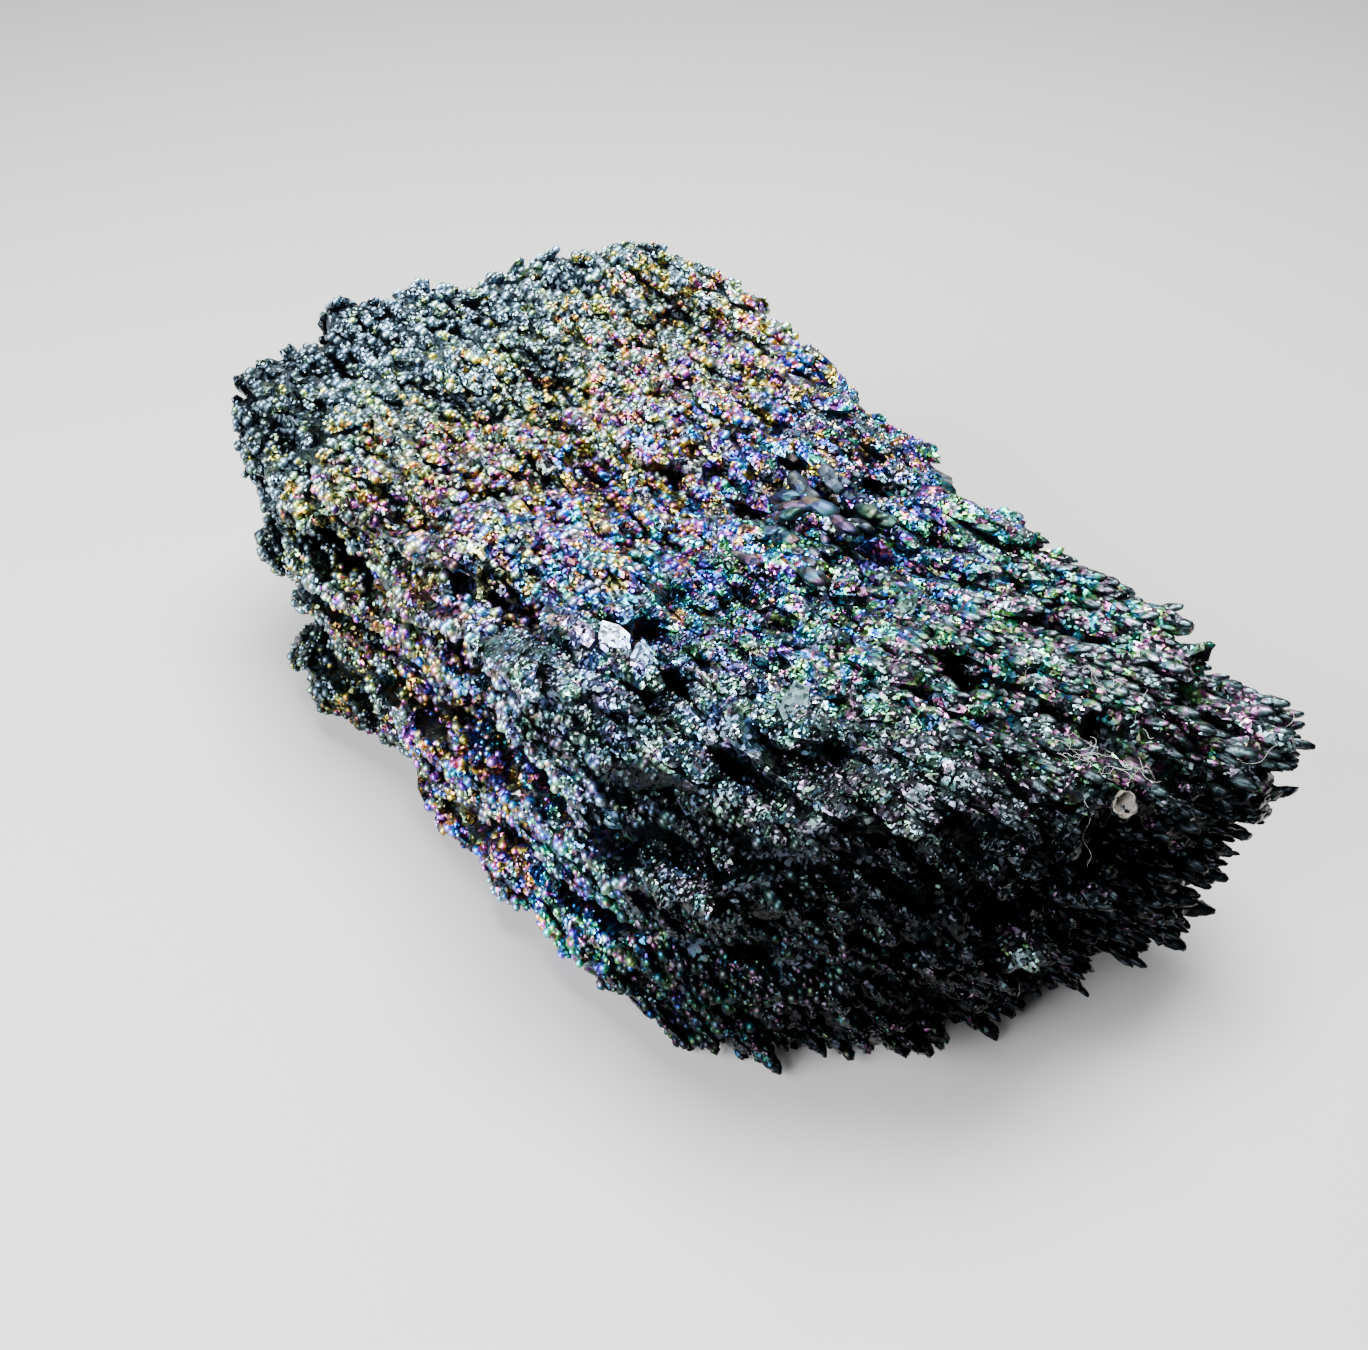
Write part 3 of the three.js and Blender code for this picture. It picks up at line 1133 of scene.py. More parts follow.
@dataclass
class CrystalForms:
    """The shapes of the lumps and crystals, each about one unit long and pointing along X."""

    seed: int = 7
    count: int = 12

    def collection(self, kind: CrystalKind) -> bpy.types.Collection:
        """Builds the forms of one kind.

        Args:
            kind: The kind of form.

        Returns:
            A collection with one object for each form, kept out of the scene.
        """
        random = np.random.default_rng(self.seed)
        forms = bpy.data.collections.new(f"{kind.value}_forms")
        build = {
            CrystalKind.LUMP: self.lump,
            CrystalKind.BEAD: self.bead,
            CrystalKind.DROP: self.drop,
            CrystalKind.PEBBLE: self.pebble,
            CrystalKind.TABLET: self.tablet,
        }[kind]
        for i in range(self.count):
            shape = bmesh.new()
            build(shape, random)
            forms.objects.link(form_object(shape, f"{kind.value}_{i}"))
        return forms

    @staticmethod
    def lump(shape: Shape, random: Random) -> None:
        """Adds a blunt, knobbly lump, the work of many crystals grown together.

        Args:
            shape: The mesh that gets it.
            random: The stream that sizes it.
        """
        wide = random.uniform(0.14, 0.23)
        rings = [
            (-0.42, wide * random.uniform(0.5, 0.7)),
            (-0.18, wide * random.uniform(0.85, 1.1)),
            (0.1, wide * random.uniform(0.85, 1.15)),
            (0.34, wide * random.uniform(0.7, 0.95)),
            (0.44, wide * random.uniform(0.4, 0.6)),
        ]
        lathe(shape, rings, random, random.uniform(0.55, 0.9), sides=8)

    @staticmethod
    def bead(shape: Shape, random: Random) -> None:
        """Adds a short, rounded crystal.

        Args:
            shape: The mesh that gets it.
            random: The stream that sizes it.
        """
        wide = random.uniform(0.36, 0.44)
        rings = [(random.uniform(-0.3, -0.24), wide * 0.9), (random.uniform(0.18, 0.26), wide)]
        lathe(shape, rings, random, random.uniform(0.75, 0.95), ragged=0.08)

    @staticmethod
    def drop(shape: Shape, random: Random) -> None:
        """Adds a long crystal that is widest near its pointed tip.

        Args:
            shape: The mesh that gets it.
            random: The stream that sizes it.
        """
        wide = random.uniform(0.18, 0.25)
        rings = [
            (-0.3, wide * 0.6),
            (random.uniform(-0.05, 0.05), wide),
            (random.uniform(0.25, 0.3), wide * 0.8),
            (0.42, wide * 0.45),
        ]
        lathe(shape, rings, random, random.uniform(0.6, 0.85), ragged=0.12)

    @staticmethod
    def pebble(shape: Shape, random: Random) -> None:
        """Adds a long crystal, blunt at both ends.

        Args:
            shape: The mesh that gets it.
            random: The stream that sizes it.
        """
        wide = random.uniform(0.17, 0.26)
        rings = [
            (-0.4, wide * 0.65),
            (-0.15, wide),
            (0.15, wide * random.uniform(0.9, 1.05)),
            (0.38, wide * 0.7),
        ]
        lathe(shape, rings, random, random.uniform(0.6, 0.85), sides=8, ragged=0.08)

    @staticmethod
    def tablet(shape: Shape, random: Random) -> None:
        """Adds a thin six-sided plate.

        Args:
            shape: The mesh that gets it.
            random: The stream that turns and sizes it.
        """
        thick = random.uniform(0.1, 0.2)
        radius = random.uniform(0.36, 0.5)
        turn = (
            Matrix.Rotation(random.normal(0, 0.35), 3, "X")
            @ Matrix.Rotation(random.normal(0, 0.25), 3, "Y")
            @ Matrix.Rotation(random.uniform(0, math.tau), 3, "Z")
        )
        loops = []
        reach = random.uniform(0.55, 1.0, 6) * radius
        angles = (np.arange(6) + random.uniform(-0.35, 0.35, 6)) * math.tau / 6
        for side in (-1, 1):
            ring = []
            for far, angle in zip(reach * (1.0 - 0.06 * side), angles, strict=True):
                corner = Vector((far * math.cos(angle), 0.75 * far * math.sin(angle), side * thick / 2))
                ring.append(shape.verts.new(turn @ corner))
            loops.append(ring)
        bridge(shape, *loops)
        shape.faces.new(list(reversed(loops[0])))
        shape.faces.new(loops[1])


class Scatter:
    """The node tree that grows crystals on a skin."""

    inputs: tuple[tuple[str, str], ...] = (
        ("Skin", "NodeSocketGeometry"),
        ("Forms", "NodeSocketCollection"),
        ("Spacing", "NodeSocketFloat"),
        ("Density", "NodeSocketFloat"),
        ("Smallest", "NodeSocketFloat"),
        ("Largest", "NodeSocketFloat"),
        ("Raise", "NodeSocketFloat"),
        ("Lift", "NodeSocketFloat"),
        ("Disorder", "NodeSocketFloat"),
        ("Seed", "NodeSocketInt"),
        ("Finish", "NodeSocketMaterial"),
    )

    def __init__(self) -> None:
        """Builds the tree once, for every crust."""
        self.tree = bpy.data.node_groups.new("grow_crystals", "GeometryNodeTree")
        self.tree.is_modifier = True
        self.sockets: dict[str, str] = {}
        for name, kind in self.inputs:
            socket = self.tree.interface.new_socket(name, in_out="INPUT", socket_type=kind)
            self.sockets[name] = socket.identifier
        self.tree.interface.new_socket("Crystals", in_out="OUTPUT", socket_type="NodeSocketGeometry")
        add = partial(add_node, self.tree)
        self.wire(add, add("NodeGroupInput").outputs)

    @staticmethod
    def wire(add: partial, given: bpy.types.NodeOutputs) -> None:
        """Adds the nodes: points on the skin, a form on each, turned the way that it grew.

        Args:
            add: Adds a node to the tree.
            given: The tree's inputs.
        """
        wanted = add("GeometryNodeInputNamedAttribute", {"Name": "wanted"}, data_type="FLOAT")
        points = add(
            "GeometryNodeDistributePointsOnFaces",
            {
                "Mesh": given["Skin"],
                "Distance Min": given["Spacing"],
                "Density Max": given["Density"],
                "Density Factor": wanted.outputs[0],
                "Seed": given["Seed"],
            },
            distribute_method="POISSON",
        )
        grew, facing = (
            add("GeometryNodeInputNamedAttribute", {"Name": name}, data_type="FLOAT_VECTOR").outputs[0]
            for name in ("growth", "facing")
        )
        # Some stand a little higher than others, and a few a little in the skin.
        height = add("FunctionNodeRandomValue", {2: -0.8, 3: 1.2, "Seed": given["Seed"]})
        raised = add("ShaderNodeMath", {0: height.outputs[1], 1: given["Raise"]}, operation="MULTIPLY")
        outward = add("ShaderNodeVectorMath", {0: facing, "Scale": raised.outputs[0]}, operation="SCALE")
        moved = {"Geometry": points.outputs["Points"], "Offset": outward.outputs[0]}
        standing = add("GeometryNodeSetPosition", moved)
        # Each points along the growth, lifted a little off the skin and a little astray.
        span = {0: (-1.0, -1.0, -1.0), 1: (1.0, 1.0, 1.0), "Seed": given["Seed"]}
        astray = add("FunctionNodeRandomValue", span, data_type="FLOAT_VECTOR").outputs[0]
        lifted = add("ShaderNodeVectorMath", {0: facing, "Scale": given["Lift"]}, operation="SCALE")
        strayed = add("ShaderNodeVectorMath", {0: astray, "Scale": given["Disorder"]}, operation="SCALE")
        way = grew
        for part in (lifted, strayed):
            way = add("ShaderNodeVectorMath", {0: way, 1: part.outputs[0]}, operation="ADD").outputs[0]
        turned = add("FunctionNodeAxesToRotation", {0: way, 1: facing}, primary_axis="X", secondary_axis="Z")
        # Squared, so that most are small and a few are large.
        luck = add("FunctionNodeRandomValue", {2: 0.0, 3: 1.0, "Seed": given["Seed"]})
        squared = add("ShaderNodeMath", {0: luck.outputs[1], 1: 2.0}, operation="POWER")
        span = {"To Min": given["Smallest"], "To Max": given["Largest"]}
        size = add("ShaderNodeMapRange", {"Value": squared.outputs[0], **span})
        forms = add(
            "GeometryNodeCollectionInfo",
            {"Collection": given["Forms"], "Separate Children": True, "Reset Children": True},
        )
        # Each is numbered, for a place of its own on the bake map.
        number = add("GeometryNodeInputIndex").outputs[0]
        numbered = add(
            "GeometryNodeStoreNamedAttribute",
            {"Geometry": standing.outputs[0], "Name": "crystal", "Value": number},
            data_type="INT",
            domain="POINT",
        )
        pick = add("FunctionNodeRandomValue", {4: 0, 5: 99, "Seed": given["Seed"]}, data_type="INT")
        crystals = add(
            "GeometryNodeInstanceOnPoints",
            {
                "Points": numbered.outputs[0],
                "Instance": forms.outputs[0],
                "Pick Instance": True,
                "Instance Index": pick.outputs[2],
                "Rotation": turned.outputs[0],
                "Scale": size.outputs[0],
            },
        )
        real = add("GeometryNodeRealizeInstances", {"Geometry": crystals.outputs[0]})
        dressed = add("GeometryNodeSetMaterial", {"Geometry": real.outputs[0], "Material": given["Finish"]})
        add("NodeGroupOutput", {0: dressed.outputs[0]})

    def grow(self, skin: bpy.types.Mesh, name: str, **values) -> bpy.types.Mesh:
        """Grows crystals on a skin.

        Args:
            skin: The mesh that they grow on, with its wanted, growth and facing attributes.
            name: The new mesh's name.
            values: The tree's inputs by name.

        Returns:
            The crystals as one plain mesh.
        """
        scratch = in_scene("scratch", skin)
        modifier = scratch.modifiers.new("grow_crystals", "NODES")
        modifier.node_group = self.tree
        for key, value in values.items():
            modifier[self.sockets[key]] = value
        return evaluated_mesh(scratch, name)


@dataclass
class Crust:
    """The lumps or crystals of one kind on one side of the block."""

    region: Region
    kind: CrystalKind
    spacing: float
    smallest: float
    largest: float
    lift: float
    disorder: float
    seed: int
    lowest: float = -1.2
    stand_off: float = 0.0
    looks_up: float = 0.55
    looks_down: float = -0.6

    def chosen(self, points: np.ndarray, facing: np.ndarray) -> np.ndarray:
        """Says which of the places lie on this crust's side of the block.

        Args:
            points: The skin's vertices.
            facing: The block's outward direction at each.

        Returns:
            True or False for each.
        """
        up = facing[:, 2] > self.looks_up
        down = facing[:, 2] < self.looks_down
        end = ~up & ~down & (np.abs(facing[:, 0]) > np.abs(facing[:, 1]))
        # The near top begins at a slanting line, further back on the right.
        near = points[:, 0] + 0.6 * np.maximum(points[:, 1], -12 * MM) > 8 * MM
        return {
            Region.FAR_TOP: up & ~near,
            Region.NEAR_TOP: up & near,
            Region.LEFT: ~up & ~down & ~end & (facing[:, 1] < 0),
            Region.RIGHT: ~up & ~down & ~end & (facing[:, 1] >= 0),
            Region.ENDS: end,
            Region.UNDER: down & (points[:, 2] > 0.8 * MM),
        }[self.region]

    def wanted(self, skin: bpy.types.Mesh) -> np.ndarray:
        """Says how much of this crust grows at each place on the skin.

        Args:
            skin: The core, or lumps, that carry it.

        Returns:
            A share of 0 to 1 for each vertex. Lumps keep out of the voids and grooves. The undersides of
            lumps stay bare, and so does the flake's place. Drops grow at the near right end and beads
            elsewhere, fewer of them among the pebbles round the large pits. Tablets lie on what stands high.
        """
        points = points_of(skin)
        facing = read(skin, "facing", 3)
        stands = read(skin, "stands", 1)[:, 0]
        share = self.chosen(points, facing) * rise(stands, self.lowest, 0.8)
        drops = rise(points[:, 0], 20 * MM, 30 * MM) * rise(points[:, 1], -12 * MM, 25 * MM)
        if self.kind == CrystalKind.LUMP:
            return share * (1 - read(skin, "void", 1)[:, 0])
        share = share * rise((normals_of(skin) * facing).sum(1), 0.05, 0.4)
        from_flake = np.linalg.norm(points - np.array(FLAKE_AT), axis=1)
        share = share * rise(from_flake, 2 * MM, 1.5 * MM)
        from_pits = np.linalg.norm(points[:, :2] - np.array(BARE_AT), axis=1)
        bare = 1 - rise(from_pits, 8 * MM, 10 * MM)
        if self.kind == CrystalKind.PEBBLE:
            return share * bare
        share = share * (1 - 0.6 * bare)
        if self.kind == CrystalKind.TABLET:
            near = rise(points[:, 0], -30 * MM, 50 * MM)
            return share * (1 - drops) * (0.2 + 0.8 * near) * rise(stands, 0.1, 0.5)
        return share * (drops if self.kind == CrystalKind.DROP else 1 - drops)

    def build(
        self,
        skin: bpy.types.Mesh,
        forms: bpy.types.Collection,
        scatter: Scatter,
        finish: bpy.types.Material,
    ) -> bpy.types.Object:
        """Grows the crust.

        Args:
            skin: What it grows on.
            forms: The lumps or crystals that it is made of.
            scatter: The tree that places them.
            finish: Their material.

        Returns:
            The finished piece.
        """
        skin = skin.copy()
        store(skin, "wanted", self.wanted(skin))
        # More points than there is room for, so that the spacing decides how many stay.
        density = 4.0 / self.spacing**2
        name = f"{self.region.value}_{self.kind.value}s"
        mesh = scatter.grow(
            skin,
            name,
            Forms=forms,
            Spacing=self.spacing,
            Density=density,
            Smallest=self.smallest,
            Largest=self.largest,
            Raise=self.stand_off,
            Lift=self.lift,
            Disorder=self.disorder,
            Seed=self.seed,
            Finish=finish,
        )
        self.share_map(mesh)
        rounded = self.kind in (CrystalKind.BEAD, CrystalKind.DROP, CrystalKind.PEBBLE)
        return finished(name, mesh, rounded=rounded)

    @staticmethod
    def share_map(mesh: bpy.types.Mesh) -> None:
        """Gives each crystal its own square of the bake map.

        Args:
            mesh: The crystals, each with the whole map.
        """
        crystal = gathered(mesh.attributes["crystal"].data, "value", kind=np.int32)
        layer = mesh.uv_layers[BAKE_MAP]
        flat = gathered(layer.uv, "vector", 2)
        across = math.ceil(math.sqrt(crystal.max() + 1))
        number = crystal[corners_of(mesh)]
        square = np.stack([number % across, number // across], 1)
        margin, used = 0.04, 0.92
        placed = (square + margin + used * flat.reshape(-1, 2)) / across
        layer.uv.foreach_set("vector", placed.astype(np.float32).ravel())


@dataclass(frozen=True)
class Cover:
    """What one side carries. Gaps and lengths are in millimetres."""

    lump_gap: float
    shortest: float
    longest: float
    # The same of its beads, and their finish.
    bead_gap: float
    smallest: float
    largest: float
    finish: CrystalFinish
    # How far the lumps lift off the core and stray aside, for each unit that they go along the growth.
    lift: float = 0.12
    stray: float = 0.22


@dataclass
class Overgrowth:
    """All that stands on the core: lumps on each side of it, and crystals on the lumps."""

    core: Core
    covers: dict[Region, Cover] = field(
        default_factory=lambda: {
            Region.FAR_TOP: Cover(2.3, 4.5, 9.0, 1.3, 1.0, 2.4, BEAD_FINISH),
            Region.NEAR_TOP: Cover(2.9, 6.0, 12.0, 0.9, 0.6, 1.3, SUGAR_FINISH),
            Region.LEFT: Cover(1.5, 3.5, 7.0, 1.1, 0.9, 2.5, BEAD_FINISH, lift=0.03, stray=0.1),
            Region.RIGHT: Cover(2.2, 4.0, 10.0, 1.3, 0.8, 2.2, BEAD_FINISH),
            Region.ENDS: Cover(2.2, 4.0, 9.0, 1.3, 0.7, 1.8, SUGAR_FINISH),
            Region.UNDER: Cover(3.0, 5.0, 10.0, 2.0, 0.9, 2.6, BEAD_FINISH),
        }
    )
    dropped: tuple[Region, ...] = (Region.NEAR_TOP, Region.RIGHT, Region.ENDS)
    strewn: tuple[Region, ...] = (Region.NEAR_TOP, Region.LEFT)
    lump_seed: int = 1
    bead_seed: int = 21
    drop_seed: int = 40
    tablet_seed: int = 50
    pebble_seed: int = 60
    scatter: Scatter = field(default_factory=Scatter)
    forms: dict[CrystalKind, bpy.types.Collection] = field(
        default_factory=lambda: {kind: CrystalForms().collection(kind) for kind in CrystalKind}
    )
    bodies: dict[Region, bpy.types.Object] = field(default_factory=dict)
    crusts: list[bpy.types.Object] = field(default_factory=list)

    def build(self) -> None:
        """Grows everything, one piece for each kind on each side."""
        for number, (region, cover) in enumerate(self.covers.items()):
            self.cover(region, cover, number)
        for seed, region in enumerate(self.dropped, self.drop_seed):
            drops = Crust(
                region,
                CrystalKind.DROP,
                spacing=1.7 * MM,
                smallest=2.8 * MM,
                largest=5.2 * MM,
                lift=0.25,
                disorder=0.22,
                seed=seed,
            )
            self.crusts.append(self.grow(drops, TIP_FINISH))
        pebbles = Crust(
            Region.NEAR_TOP,
            CrystalKind.PEBBLE,
            spacing=2.2 * MM,
            smallest=3.0 * MM,
            largest=7.0 * MM,
            lift=0.1,
            disorder=0.25,
            seed=self.pebble_seed,
            stand_off=0.3 * MM,
        )
        self.crusts.append(self.grow(pebbles, SMOOTH_FINISH))
        for seed, region in enumerate(self.strewn, self.tablet_seed):
            tablets = Crust(
                region,
                CrystalKind.TABLET,
                spacing=8.0 * MM,
                smallest=1.8 * MM,
                largest=4.0 * MM,
                lift=0.0,
                disorder=0.15,
                seed=seed,
                stand_off=0.2 * MM,
            )
            # The tablets take the copy of the faces painted dark as shade.
            self.grow(tablets, SHADED_FACES_FINISH)

    def cover(self, region: Region, cover: Cover, number: int) -> None:
        """Grows one side's lumps, and the beads on them.

        Args:
            region: The side.
            cover: What it carries.
            number: The side's place in the order, for seeds of its own.
        """
        lumps = Crust(
            region,
            CrystalKind.LUMP,
            spacing=cover.lump_gap * MM,
            smallest=cover.shortest * MM,
            largest=cover.longest * MM,
            lift=cover.lift,
            disorder=cover.stray,
            seed=self.lump_seed + number,
            lowest=-2.4,
            stand_off=0.6 * MM,
        )
        body = self.grow(lumps, LUMP_FINISH)
        self.core.measure(body.data)
        self.bodies[region] = body
        beads = Crust(
            region,
            CrystalKind.BEAD,
            spacing=cover.bead_gap * MM,
            smallest=cover.smallest * MM,
            largest=cover.largest * MM,
            lift=0.5,
            disorder=0.5,
            seed=self.bead_seed + number,
        )
        self.crusts.append(self.grow(beads, cover.finish))

    def grow(self, crust: Crust, finish: CrystalFinish) -> bpy.types.Object:
        """Grows one crust: lumps on the core, or crystals on the lumps of their side.

        Args:
            crust: The crust.
            finish: Its finish.

        Returns:
            The finished piece.
        """
        skin = self.core.mesh if crust.kind == CrystalKind.LUMP else self.bodies[crust.region].data
        return crust.build(skin, self.forms[crust.kind], self.scatter, finish.material())

    def ground(self) -> BVHTree:
        """Makes one tree of all the lumps' and crystals' faces, for finding where a thing lies on them.

        Returns:
            The tree, without the tablets.
        """
        points, faces = [], []
        for piece in (*self.bodies.values(), *self.crusts):
            start = len(points)
            points.extend(v.co.copy() for v in piece.data.vertices)
            faces.extend(tuple(start + i for i in p.vertices) for p in piece.data.polygons)
        return BVHTree.FromPolygons(points, faces)


@dataclass(frozen=True)
class Plate:
    """One broad crystal face: its place, the way it faces, its length, width and turn, and if it is painted
    pale as lit rather than dark as shade.
    """

    middle: Point
    facing: Point
    length: float
    width: float
    turn: float
    bright: bool = False


@dataclass
class Plates:
    """The broad faces on the near top and the near left, thin stepped tablets half buried, in millimetres."""

    plates: tuple[Plate, ...] = (
        Plate((25.3, -27.2, 53.0), (0.30, -0.12, 0.95), 7.5, 4.4, 10, True),
        Plate((30.2, -26.2, 52.6), (0.50, -0.20, 0.84), 5.2, 3.2, -20, True),
        Plate((22.4, -29.6, 52.6), (0.20, -0.34, 0.92), 4.6, 3.0, 50, True),
        Plate((48.5, -16.1, 52.6), (0.18, -0.20, 0.96), 8.0, 3.6, 5),
        Plate((52.8, -24.1, 52.0), (0.36, -0.14, 0.92), 4.2, 2.5, 80, True),
        Plate((40.8, -37.9, 41.2), (0.35, -0.30, 0.89), 3.8, 2.6, 60, True),
        Plate((41.2, -39.0, 33.6), (0.25, -0.50, 0.83), 6.5, 3.6, 15),
        Plate((33.2, 22.8, 50.5), (0.20, -0.05, 0.98), 6.5, 3.4, 30),
        Plate((38.8, 10.4, 51.0), (0.10, -0.15, 0.98), 7.0, 3.0, -10),
        Plate((3.8, 4.0, 51.0), (0.28, -0.10, 0.95), 5.0, 3.2, 0),
    )
    thickness: float = 0.7
    corners: int = 7
    reach: float = 12
    # The slab and the step on it: how broad each is, and its lower and upper level in thicknesses.
    levels: tuple[tuple[float, float, float], ...] = ((1.0, -0.9, 0.6), (0.62, 0.5, 1.0))
    seed: int = 5

    def build(self, ground: BVHTree) -> None:
        """Builds the plates: one piece painted dark as shade, of those that turn away from the light, and one
        painted pale as lit, of those that catch it.

        Args:
            ground: The crystals that they lie among.
        """
        random = np.random.default_rng(self.seed)
        # The pale copy of the finish is painted as lit, the dark one as shade.
        kinds = ((False, SHADED_FACES_FINISH, "broad_faces"), (True, LIT_FACES_FINISH, "shining_faces"))
        for shines, finish, name in kinds:
            shape = bmesh.new()
            for plate in self.plates:
                if plate.bright == shines:
                    self.tablet(shape, plate, ground, random)
            bmesh.ops.recalc_face_normals(shape, faces=shape.faces)
            mesh = mesh_of(shape, name)
            up = np.tile((0.0, 0.0, 1.0), (len(mesh.vertices), 1))
            for key, values in (("facing", up), ("stands", up[:, 2]), ("tip", 0.5 * up[:, 2])):
                store(mesh, key, values)
            finished(name, mesh, finish.material())

    def tablet(self, shape: Shape, plate: Plate, ground: BVHTree, random: Random) -> None:
        """Adds a plate: a slab with uneven corners, and a step of growth on it.

        Args:
            shape: The mesh that gets the plate.
            plate: Its place and size.
            ground: The crystals that it lies among.
            random: The stream that makes its corners uneven.
        """
        way = Vector(plate.facing).normalized()
        start = (Vector(plate.middle) + self.reach * way) * MM
        hit = ground.ray_cast(start, -way)[0] or Vector(plate.middle) * MM
        turned = way.to_track_quat("Z", "X").to_matrix() @ Matrix.Rotation(math.radians(plate.turn), 3, "Z")
        angles = (np.arange(self.corners) + random.uniform(-0.3, 0.3, self.corners)) * math.tau / self.corners
        reach = random.uniform(0.8, 1.1, self.corners)
        aside = random.uniform(-0.1, 0.1, 2)
        for share, low, high in self.levels:
            loops = []
            for level in (low, high):
                taper = share * (1.06 if level < 0 else 0.97)
                ring = []
                for angle, far in zip(angles, reach, strict=True):
                    across = 0.5 * plate.length * (taper * far * math.cos(angle) + aside[0] * (1 - share))
                    along = 0.5 * plate.width * (taper * far * math.sin(angle) + aside[1] * (1 - share))
                    corner = turned @ Vector((across, along, level * self.thickness)) * MM
                    ring.append(shape.verts.new(hit + corner))
                loops.append(ring)
            shape.faces.new(loops[0])
            shape.faces.new(loops[1])
            bridge(shape, *loops)


@dataclass(frozen=True)
class Fibre:
    """One fibre of lint: the places that it passes, in millimetres, and whether it lies on the crystals."""

    route: tuple[Point, ...]
    lies: bool = False


@dataclass
class Lint:
    """Fibres of cotton lint caught on the near right end: some single ones, and a tangle."""

    radius: float = 0.022 * MM
    steps: int = 36
    sides: int = 4
    curl: float = 0.4 * MM
    hover: float = 0.8 * MM
    single: tuple[Fibre, ...] = (
        Fibre(((76.9, 41.1, 45), (77.8, 42.1, 46), (79.3, 41.5, 45), (79.6, 40.7, 43), (79.1, 39.7, 42.5))),
        Fibre(((76.7, 5.8, 47.5), (77.9, 5.3, 44.6), (78.9, 4.8, 42), (79.4, 4.9, 39))),
        Fibre(((80.5, 37.1, 43), (81.5, 35, 43.5), (81.2, 32, 42.5), (80, 30, 43.5))),
        Fibre(((69, 11, 0), (71.5, 13, 0), (74, 12.5, 0)), True),
        Fibre(((71, 18, 0), (74, 19.5, 0), (76.5, 18, 0)), True),
        Fibre(((72.6, 23, 0), (75, 24.5, 0), (77, 23, 0)), True),
        Fibre(((75, 9, 0), (77, 10.5, 0), (77.5, 13, 0)), True),
    )
    tangle_middle: tuple[float, float] = (71.0, 15.5)
    tangle_spread: float = 3.4
    tangle_count: int = 75
    stretch: tuple[float, float] = (1, 2.6)
    wandering: float = 0.9
    lowest: float = 44 * MM
    seed: int = 9

    def build(self, ground: BVHTree, finish: bpy.types.Material) -> bpy.types.Object:
        """Builds the lint.

        Args:
            ground: The crystals that it lies on.
            finish: Its material.

        Returns:
            The finished piece.
        """
        random = np.random.default_rng(self.seed)
        shape = bmesh.new()
        for fibre in self.single:
            self.tube(shape, self.path(np.array(fibre.route, float), fibre.lies, ground, random))
        for _ in range(self.tangle_count):
            start = random.normal(self.tangle_middle, self.tangle_spread)
            heading = random.uniform(0, math.tau)
            route = [start]
            for _ in range(random.integers(2, 5)):
                heading += random.normal(0, self.wandering)
                far = random.uniform(*self.stretch)
                route.append(route[-1] + far * np.array([math.cos(heading), math.sin(heading)]))
            flat = np.c_[np.array(route), np.zeros(len(route))]
            line = self.path(flat, True, ground, random)
            if line[:, 2].min() > self.lowest:
                self.tube(shape, line)
        bmesh.ops.recalc_face_normals(shape, faces=shape.faces)
        return finished("lint", mesh_of(shape, "lint"), finish, rounded=True)

    def path(self, route: np.ndarray, lies: bool, ground: BVHTree, random: Random) -> np.ndarray:
        """Draws a fibre's line through its places, with a little curl.

        Args:
            route: The places, in millimetres.
            lies: Whether it is laid on the crystals.
            ground: The crystals.
            random: The stream that curls it.

        Returns:
            The line's points.
        """
        line = self.curve(route) * MM
        phase = random.uniform(0, math.tau, 3)
        turns = np.linspace(0, 1, self.steps)[:, None] * math.tau * random.uniform(1, 2.5, 3)
        held_ends = np.sin(np.linspace(0, math.pi, self.steps))[:, None] ** 0.5
        line += self.curl * np.sin(turns + phase) * held_ends
        if lies:
            for point in line:
                hit = ground.ray_cast(Vector((point[0], point[1], 1.0)), Vector((0, 0, -1)))[0]
                point[2] = hit.z if hit else 0.0
            line[:, 2] = np.convolve(np.pad(line[:, 2], 3, "edge"), np.full(7, 1 / 7), "valid") + self.hover
        else:
            caught = np.array(ground.find_nearest(Vector(line[0]))[0])
            line += (caught - line[0]) * np.linspace(1, 0, self.steps)[:, None] ** 2
        low, high = (np.array(corner) for corner in CAD_BOX)
        return np.clip(line, low + self.radius, high - self.radius)

    def curve(self, route: np.ndarray) -> np.ndarray:
        """Draws a smooth curve through places, a Catmull-Rom spline.

        Args:
            route: The places.

        Returns:
            The curve's points.
        """
        held = np.vstack([2 * route[0] - route[1], route, 2 * route[-1] - route[-2]])
        places = []
        for t in np.linspace(0, len(route) - 1.001, self.steps):
            k, u = int(t), t - int(t)
            a, b, c, d = held[k : k + 4]
            bend, twist = 2 * a - 5 * b + 4 * c - d, 3 * b - a - 3 * c + d
            places.append(0.5 * (2 * b + (c - a) * u + bend * u**2 + twist * u**3))
        return np.array(places)

    def tube(self, shape: Shape, line: np.ndarray) -> None:
        """Adds a thin closed tube along a line.

        Args:
            shape: The mesh that gets the tube.
            line: The line's points.
        """
        tangents = unit(np.gradient(line, axis=0))
        side = unit(np.cross(tangents, (0.3, 0.2, 1.0)))
        up = np.cross(side, tangents)
        loops = []
        for place, across, over in zip(line, side, up, strict=True):
            ring = []
            for k in range(self.sides):
                angle = k * math.tau / self.sides
                spoke = math.cos(angle) * across + math.sin(angle) * over
                ring.append(shape.verts.new(place + self.radius * spoke))
            loops.append(ring)
        for lower, upper in zip(loops, loops[1:]):
            bridge(shape, lower, upper)
        shape.faces.new(loops[0])
        shape.faces.new(loops[-1])


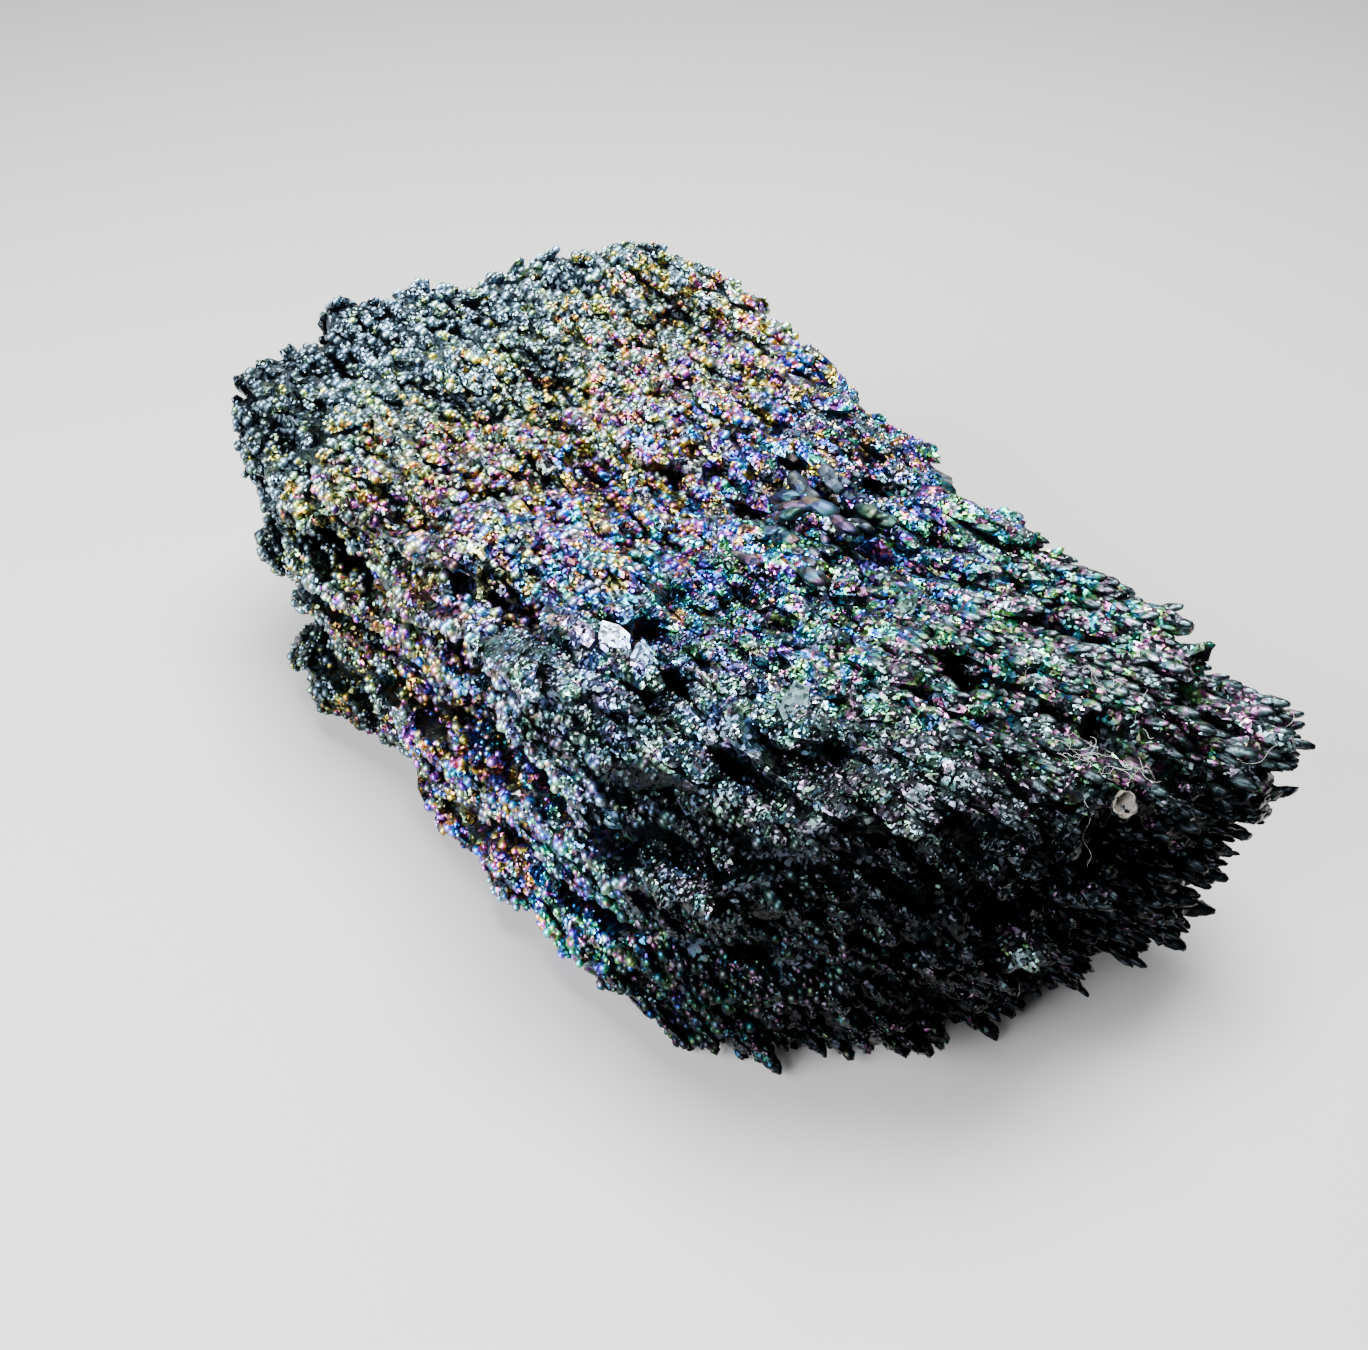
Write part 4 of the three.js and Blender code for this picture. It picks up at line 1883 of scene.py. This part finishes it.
@dataclass
class Flake:
    """A small curled flake of bran, caught among the crystals like a broken shell."""

    middle: Point = FLAKE_AT
    facing: Point = (0.45, -0.45, 0.77)
    radius: float = 1.25 * MM
    length: float = 1.25
    cup: float = 1.7
    ragged: float = 0.4
    thickness: float = 0.16 * MM
    crumple: float = 0.45 * MM
    creases: float = 1.4
    stands: float = 0.9
    around: int = 24
    rings: int = 7
    seed: int = 3

    def build(self, ground: BVHTree, finish: bpy.types.Material) -> bpy.types.Object:
        """Builds the flake.

        Args:
            ground: The crystals that it lies on.
            finish: Its material.

        Returns:
            The finished piece.
        """
        shape = bmesh.new()
        bridge(shape, self.bowl(shape, self.radius), self.bowl(shape, self.radius - self.thickness))
        bmesh.ops.recalc_face_normals(shape, faces=shape.faces)
        # Without a seed, noise_vector is another pattern at each run.
        noise.seed_set(self.seed)
        for corner in shape.verts:
            corner.co += self.crumple * noise.noise_vector(corner.co / self.radius * self.creases)
        opens = Vector(self.facing).normalized()
        caught = ground.find_nearest(Vector(self.middle))[0]
        tilt = opens.to_track_quat("Z", "X").to_matrix().to_4x4()
        place = Matrix.Translation(caught + self.stands * self.radius * opens)
        bmesh.ops.transform(shape, matrix=place @ tilt, verts=shape.verts)
        return finished("bran_flake", mesh_of(shape, "flake"), finish, rounded=True)

    def bowl(self, shape: Shape, radius: float) -> list[bmesh.types.BMVert]:
        """Adds one side of the flake, a shallow bowl with a ragged rim.

        Args:
            shape: The mesh that gets it.
            radius: The bowl's radius.

        Returns:
            The rim's vertices, in order.
        """
        pole = shape.verts.new((0, 0, -radius))
        previous = None
        for i in range(1, self.rings + 1):
            ring = []
            for k in range(self.around):
                angle = k * math.tau / self.around
                torn = noise.noise(Vector((math.cos(angle) * 1.8, math.sin(angle) * 1.8, 3.0)))
                polar = self.cup * (1 + self.ragged * torn) * i / self.rings
                wide = radius * math.sin(polar)
                along = self.length * wide * math.cos(angle)
                ring.append(shape.verts.new((along, wide * math.sin(angle), -radius * math.cos(polar))))
            for k in range(self.around):
                after = (k + 1) % self.around
                if previous is None:
                    shape.faces.new((pole, ring[k], ring[after]))
                else:
                    shape.faces.new((previous[k], ring[k], ring[after], previous[after]))
            previous = ring
        return previous


@dataclass(frozen=True)
class Light:
    """A square soft light that faces the specimen: its place, its side, its power in watts and its colour."""

    name: str
    place: Point
    side: float
    power: float
    colour: str


@dataclass
class Studio:
    """A pale floor, soft lights and the camera."""

    camera_at: Point = (144.95 * MM, -99.97 * MM, 164.4 * MM)
    azimuth: float = 55.0
    pitch: float = 40.0
    lens: float = 36.9
    lights: tuple[Light, ...] = (
        Light("key", (-0.02, 0.06, 0.56), 0.30, 24.0, "#f8fbff"),
        Light("back", (-0.50, 0.36, 0.60), 1.00, 10.0, "#f4f8ff"),
        Light("left", (0.0, -0.58, 0.30), 0.45, 36.0, "#f0f5ff"),
    )
    aim: Point = (0, 0, 0.03)
    air: str = "#c9ccd0"
    air_strength: float = 0.08
    paper: str = "#83807c"
    floor_reach: float = 3.0

    def build(self) -> None:
        """Builds the floor, the lights, the air and the camera."""
        self.floor()
        for light in self.lights:
            self.hang(light)
        world = bpy.data.worlds.new("studio")
        world.use_nodes = True
        background = world.node_tree.nodes["Background"]
        background.inputs["Color"].default_value = linear(self.air)
        background.inputs["Strength"].default_value = self.air_strength
        bpy.context.scene.world = world
        camera = in_scene("camera", bpy.data.cameras.new("camera"))
        camera.data.lens = self.lens
        camera.data.sensor_width = 36.0
        camera.data.clip_start = 5 * MM
        camera.location = self.camera_at
        camera.rotation_euler = (math.radians(90 - self.pitch), 0, math.radians(self.azimuth))
        bpy.context.scene.camera = camera

    def floor(self) -> None:
        """Lays a plain pale floor of matt paper."""
        mesh = bpy.data.meshes.new("floor")
        far = self.floor_reach
        mesh.from_pydata([(-far, -far, 0), (far, -far, 0), (far, far, 0), (-far, far, 0)], [], [(0, 1, 2, 3)])
        material, _ = started("pale_paper", {"Base Color": linear(self.paper), "Roughness": 0.7})
        mesh.materials.append(material)
        in_scene("floor", mesh)

    def hang(self, light: Light) -> None:
        """Adds a light.

        Args:
            light: What it is like.
        """
        data = bpy.data.lights.new(light.name, "AREA")
        data.size = light.side
        data.energy = light.power
        data.color = linear(light.colour)[:3]
        lamp = in_scene(light.name, data)
        lamp.location = light.place
        way = Vector(self.aim) - Vector(light.place)
        lamp.rotation_euler = way.to_track_quat("-Z", "Y").to_euler()
        lamp.visible_camera = False


def main() -> None:
    """Builds the specimen piece by piece."""
    logging.basicConfig(level=logging.INFO, format="%(name)s: %(message)s")
    Studio().build()
    core = Core()
    core.build(CORE_FINISH.material())
    overgrowth = Overgrowth(core)
    overgrowth.build()
    ground = overgrowth.ground()
    Plates().build(ground)
    Lint().build(ground, LINT_FINISH.material())
    Flake().build(ground, BRAN_FINISH.material())


if __name__ == "__main__":
    main()
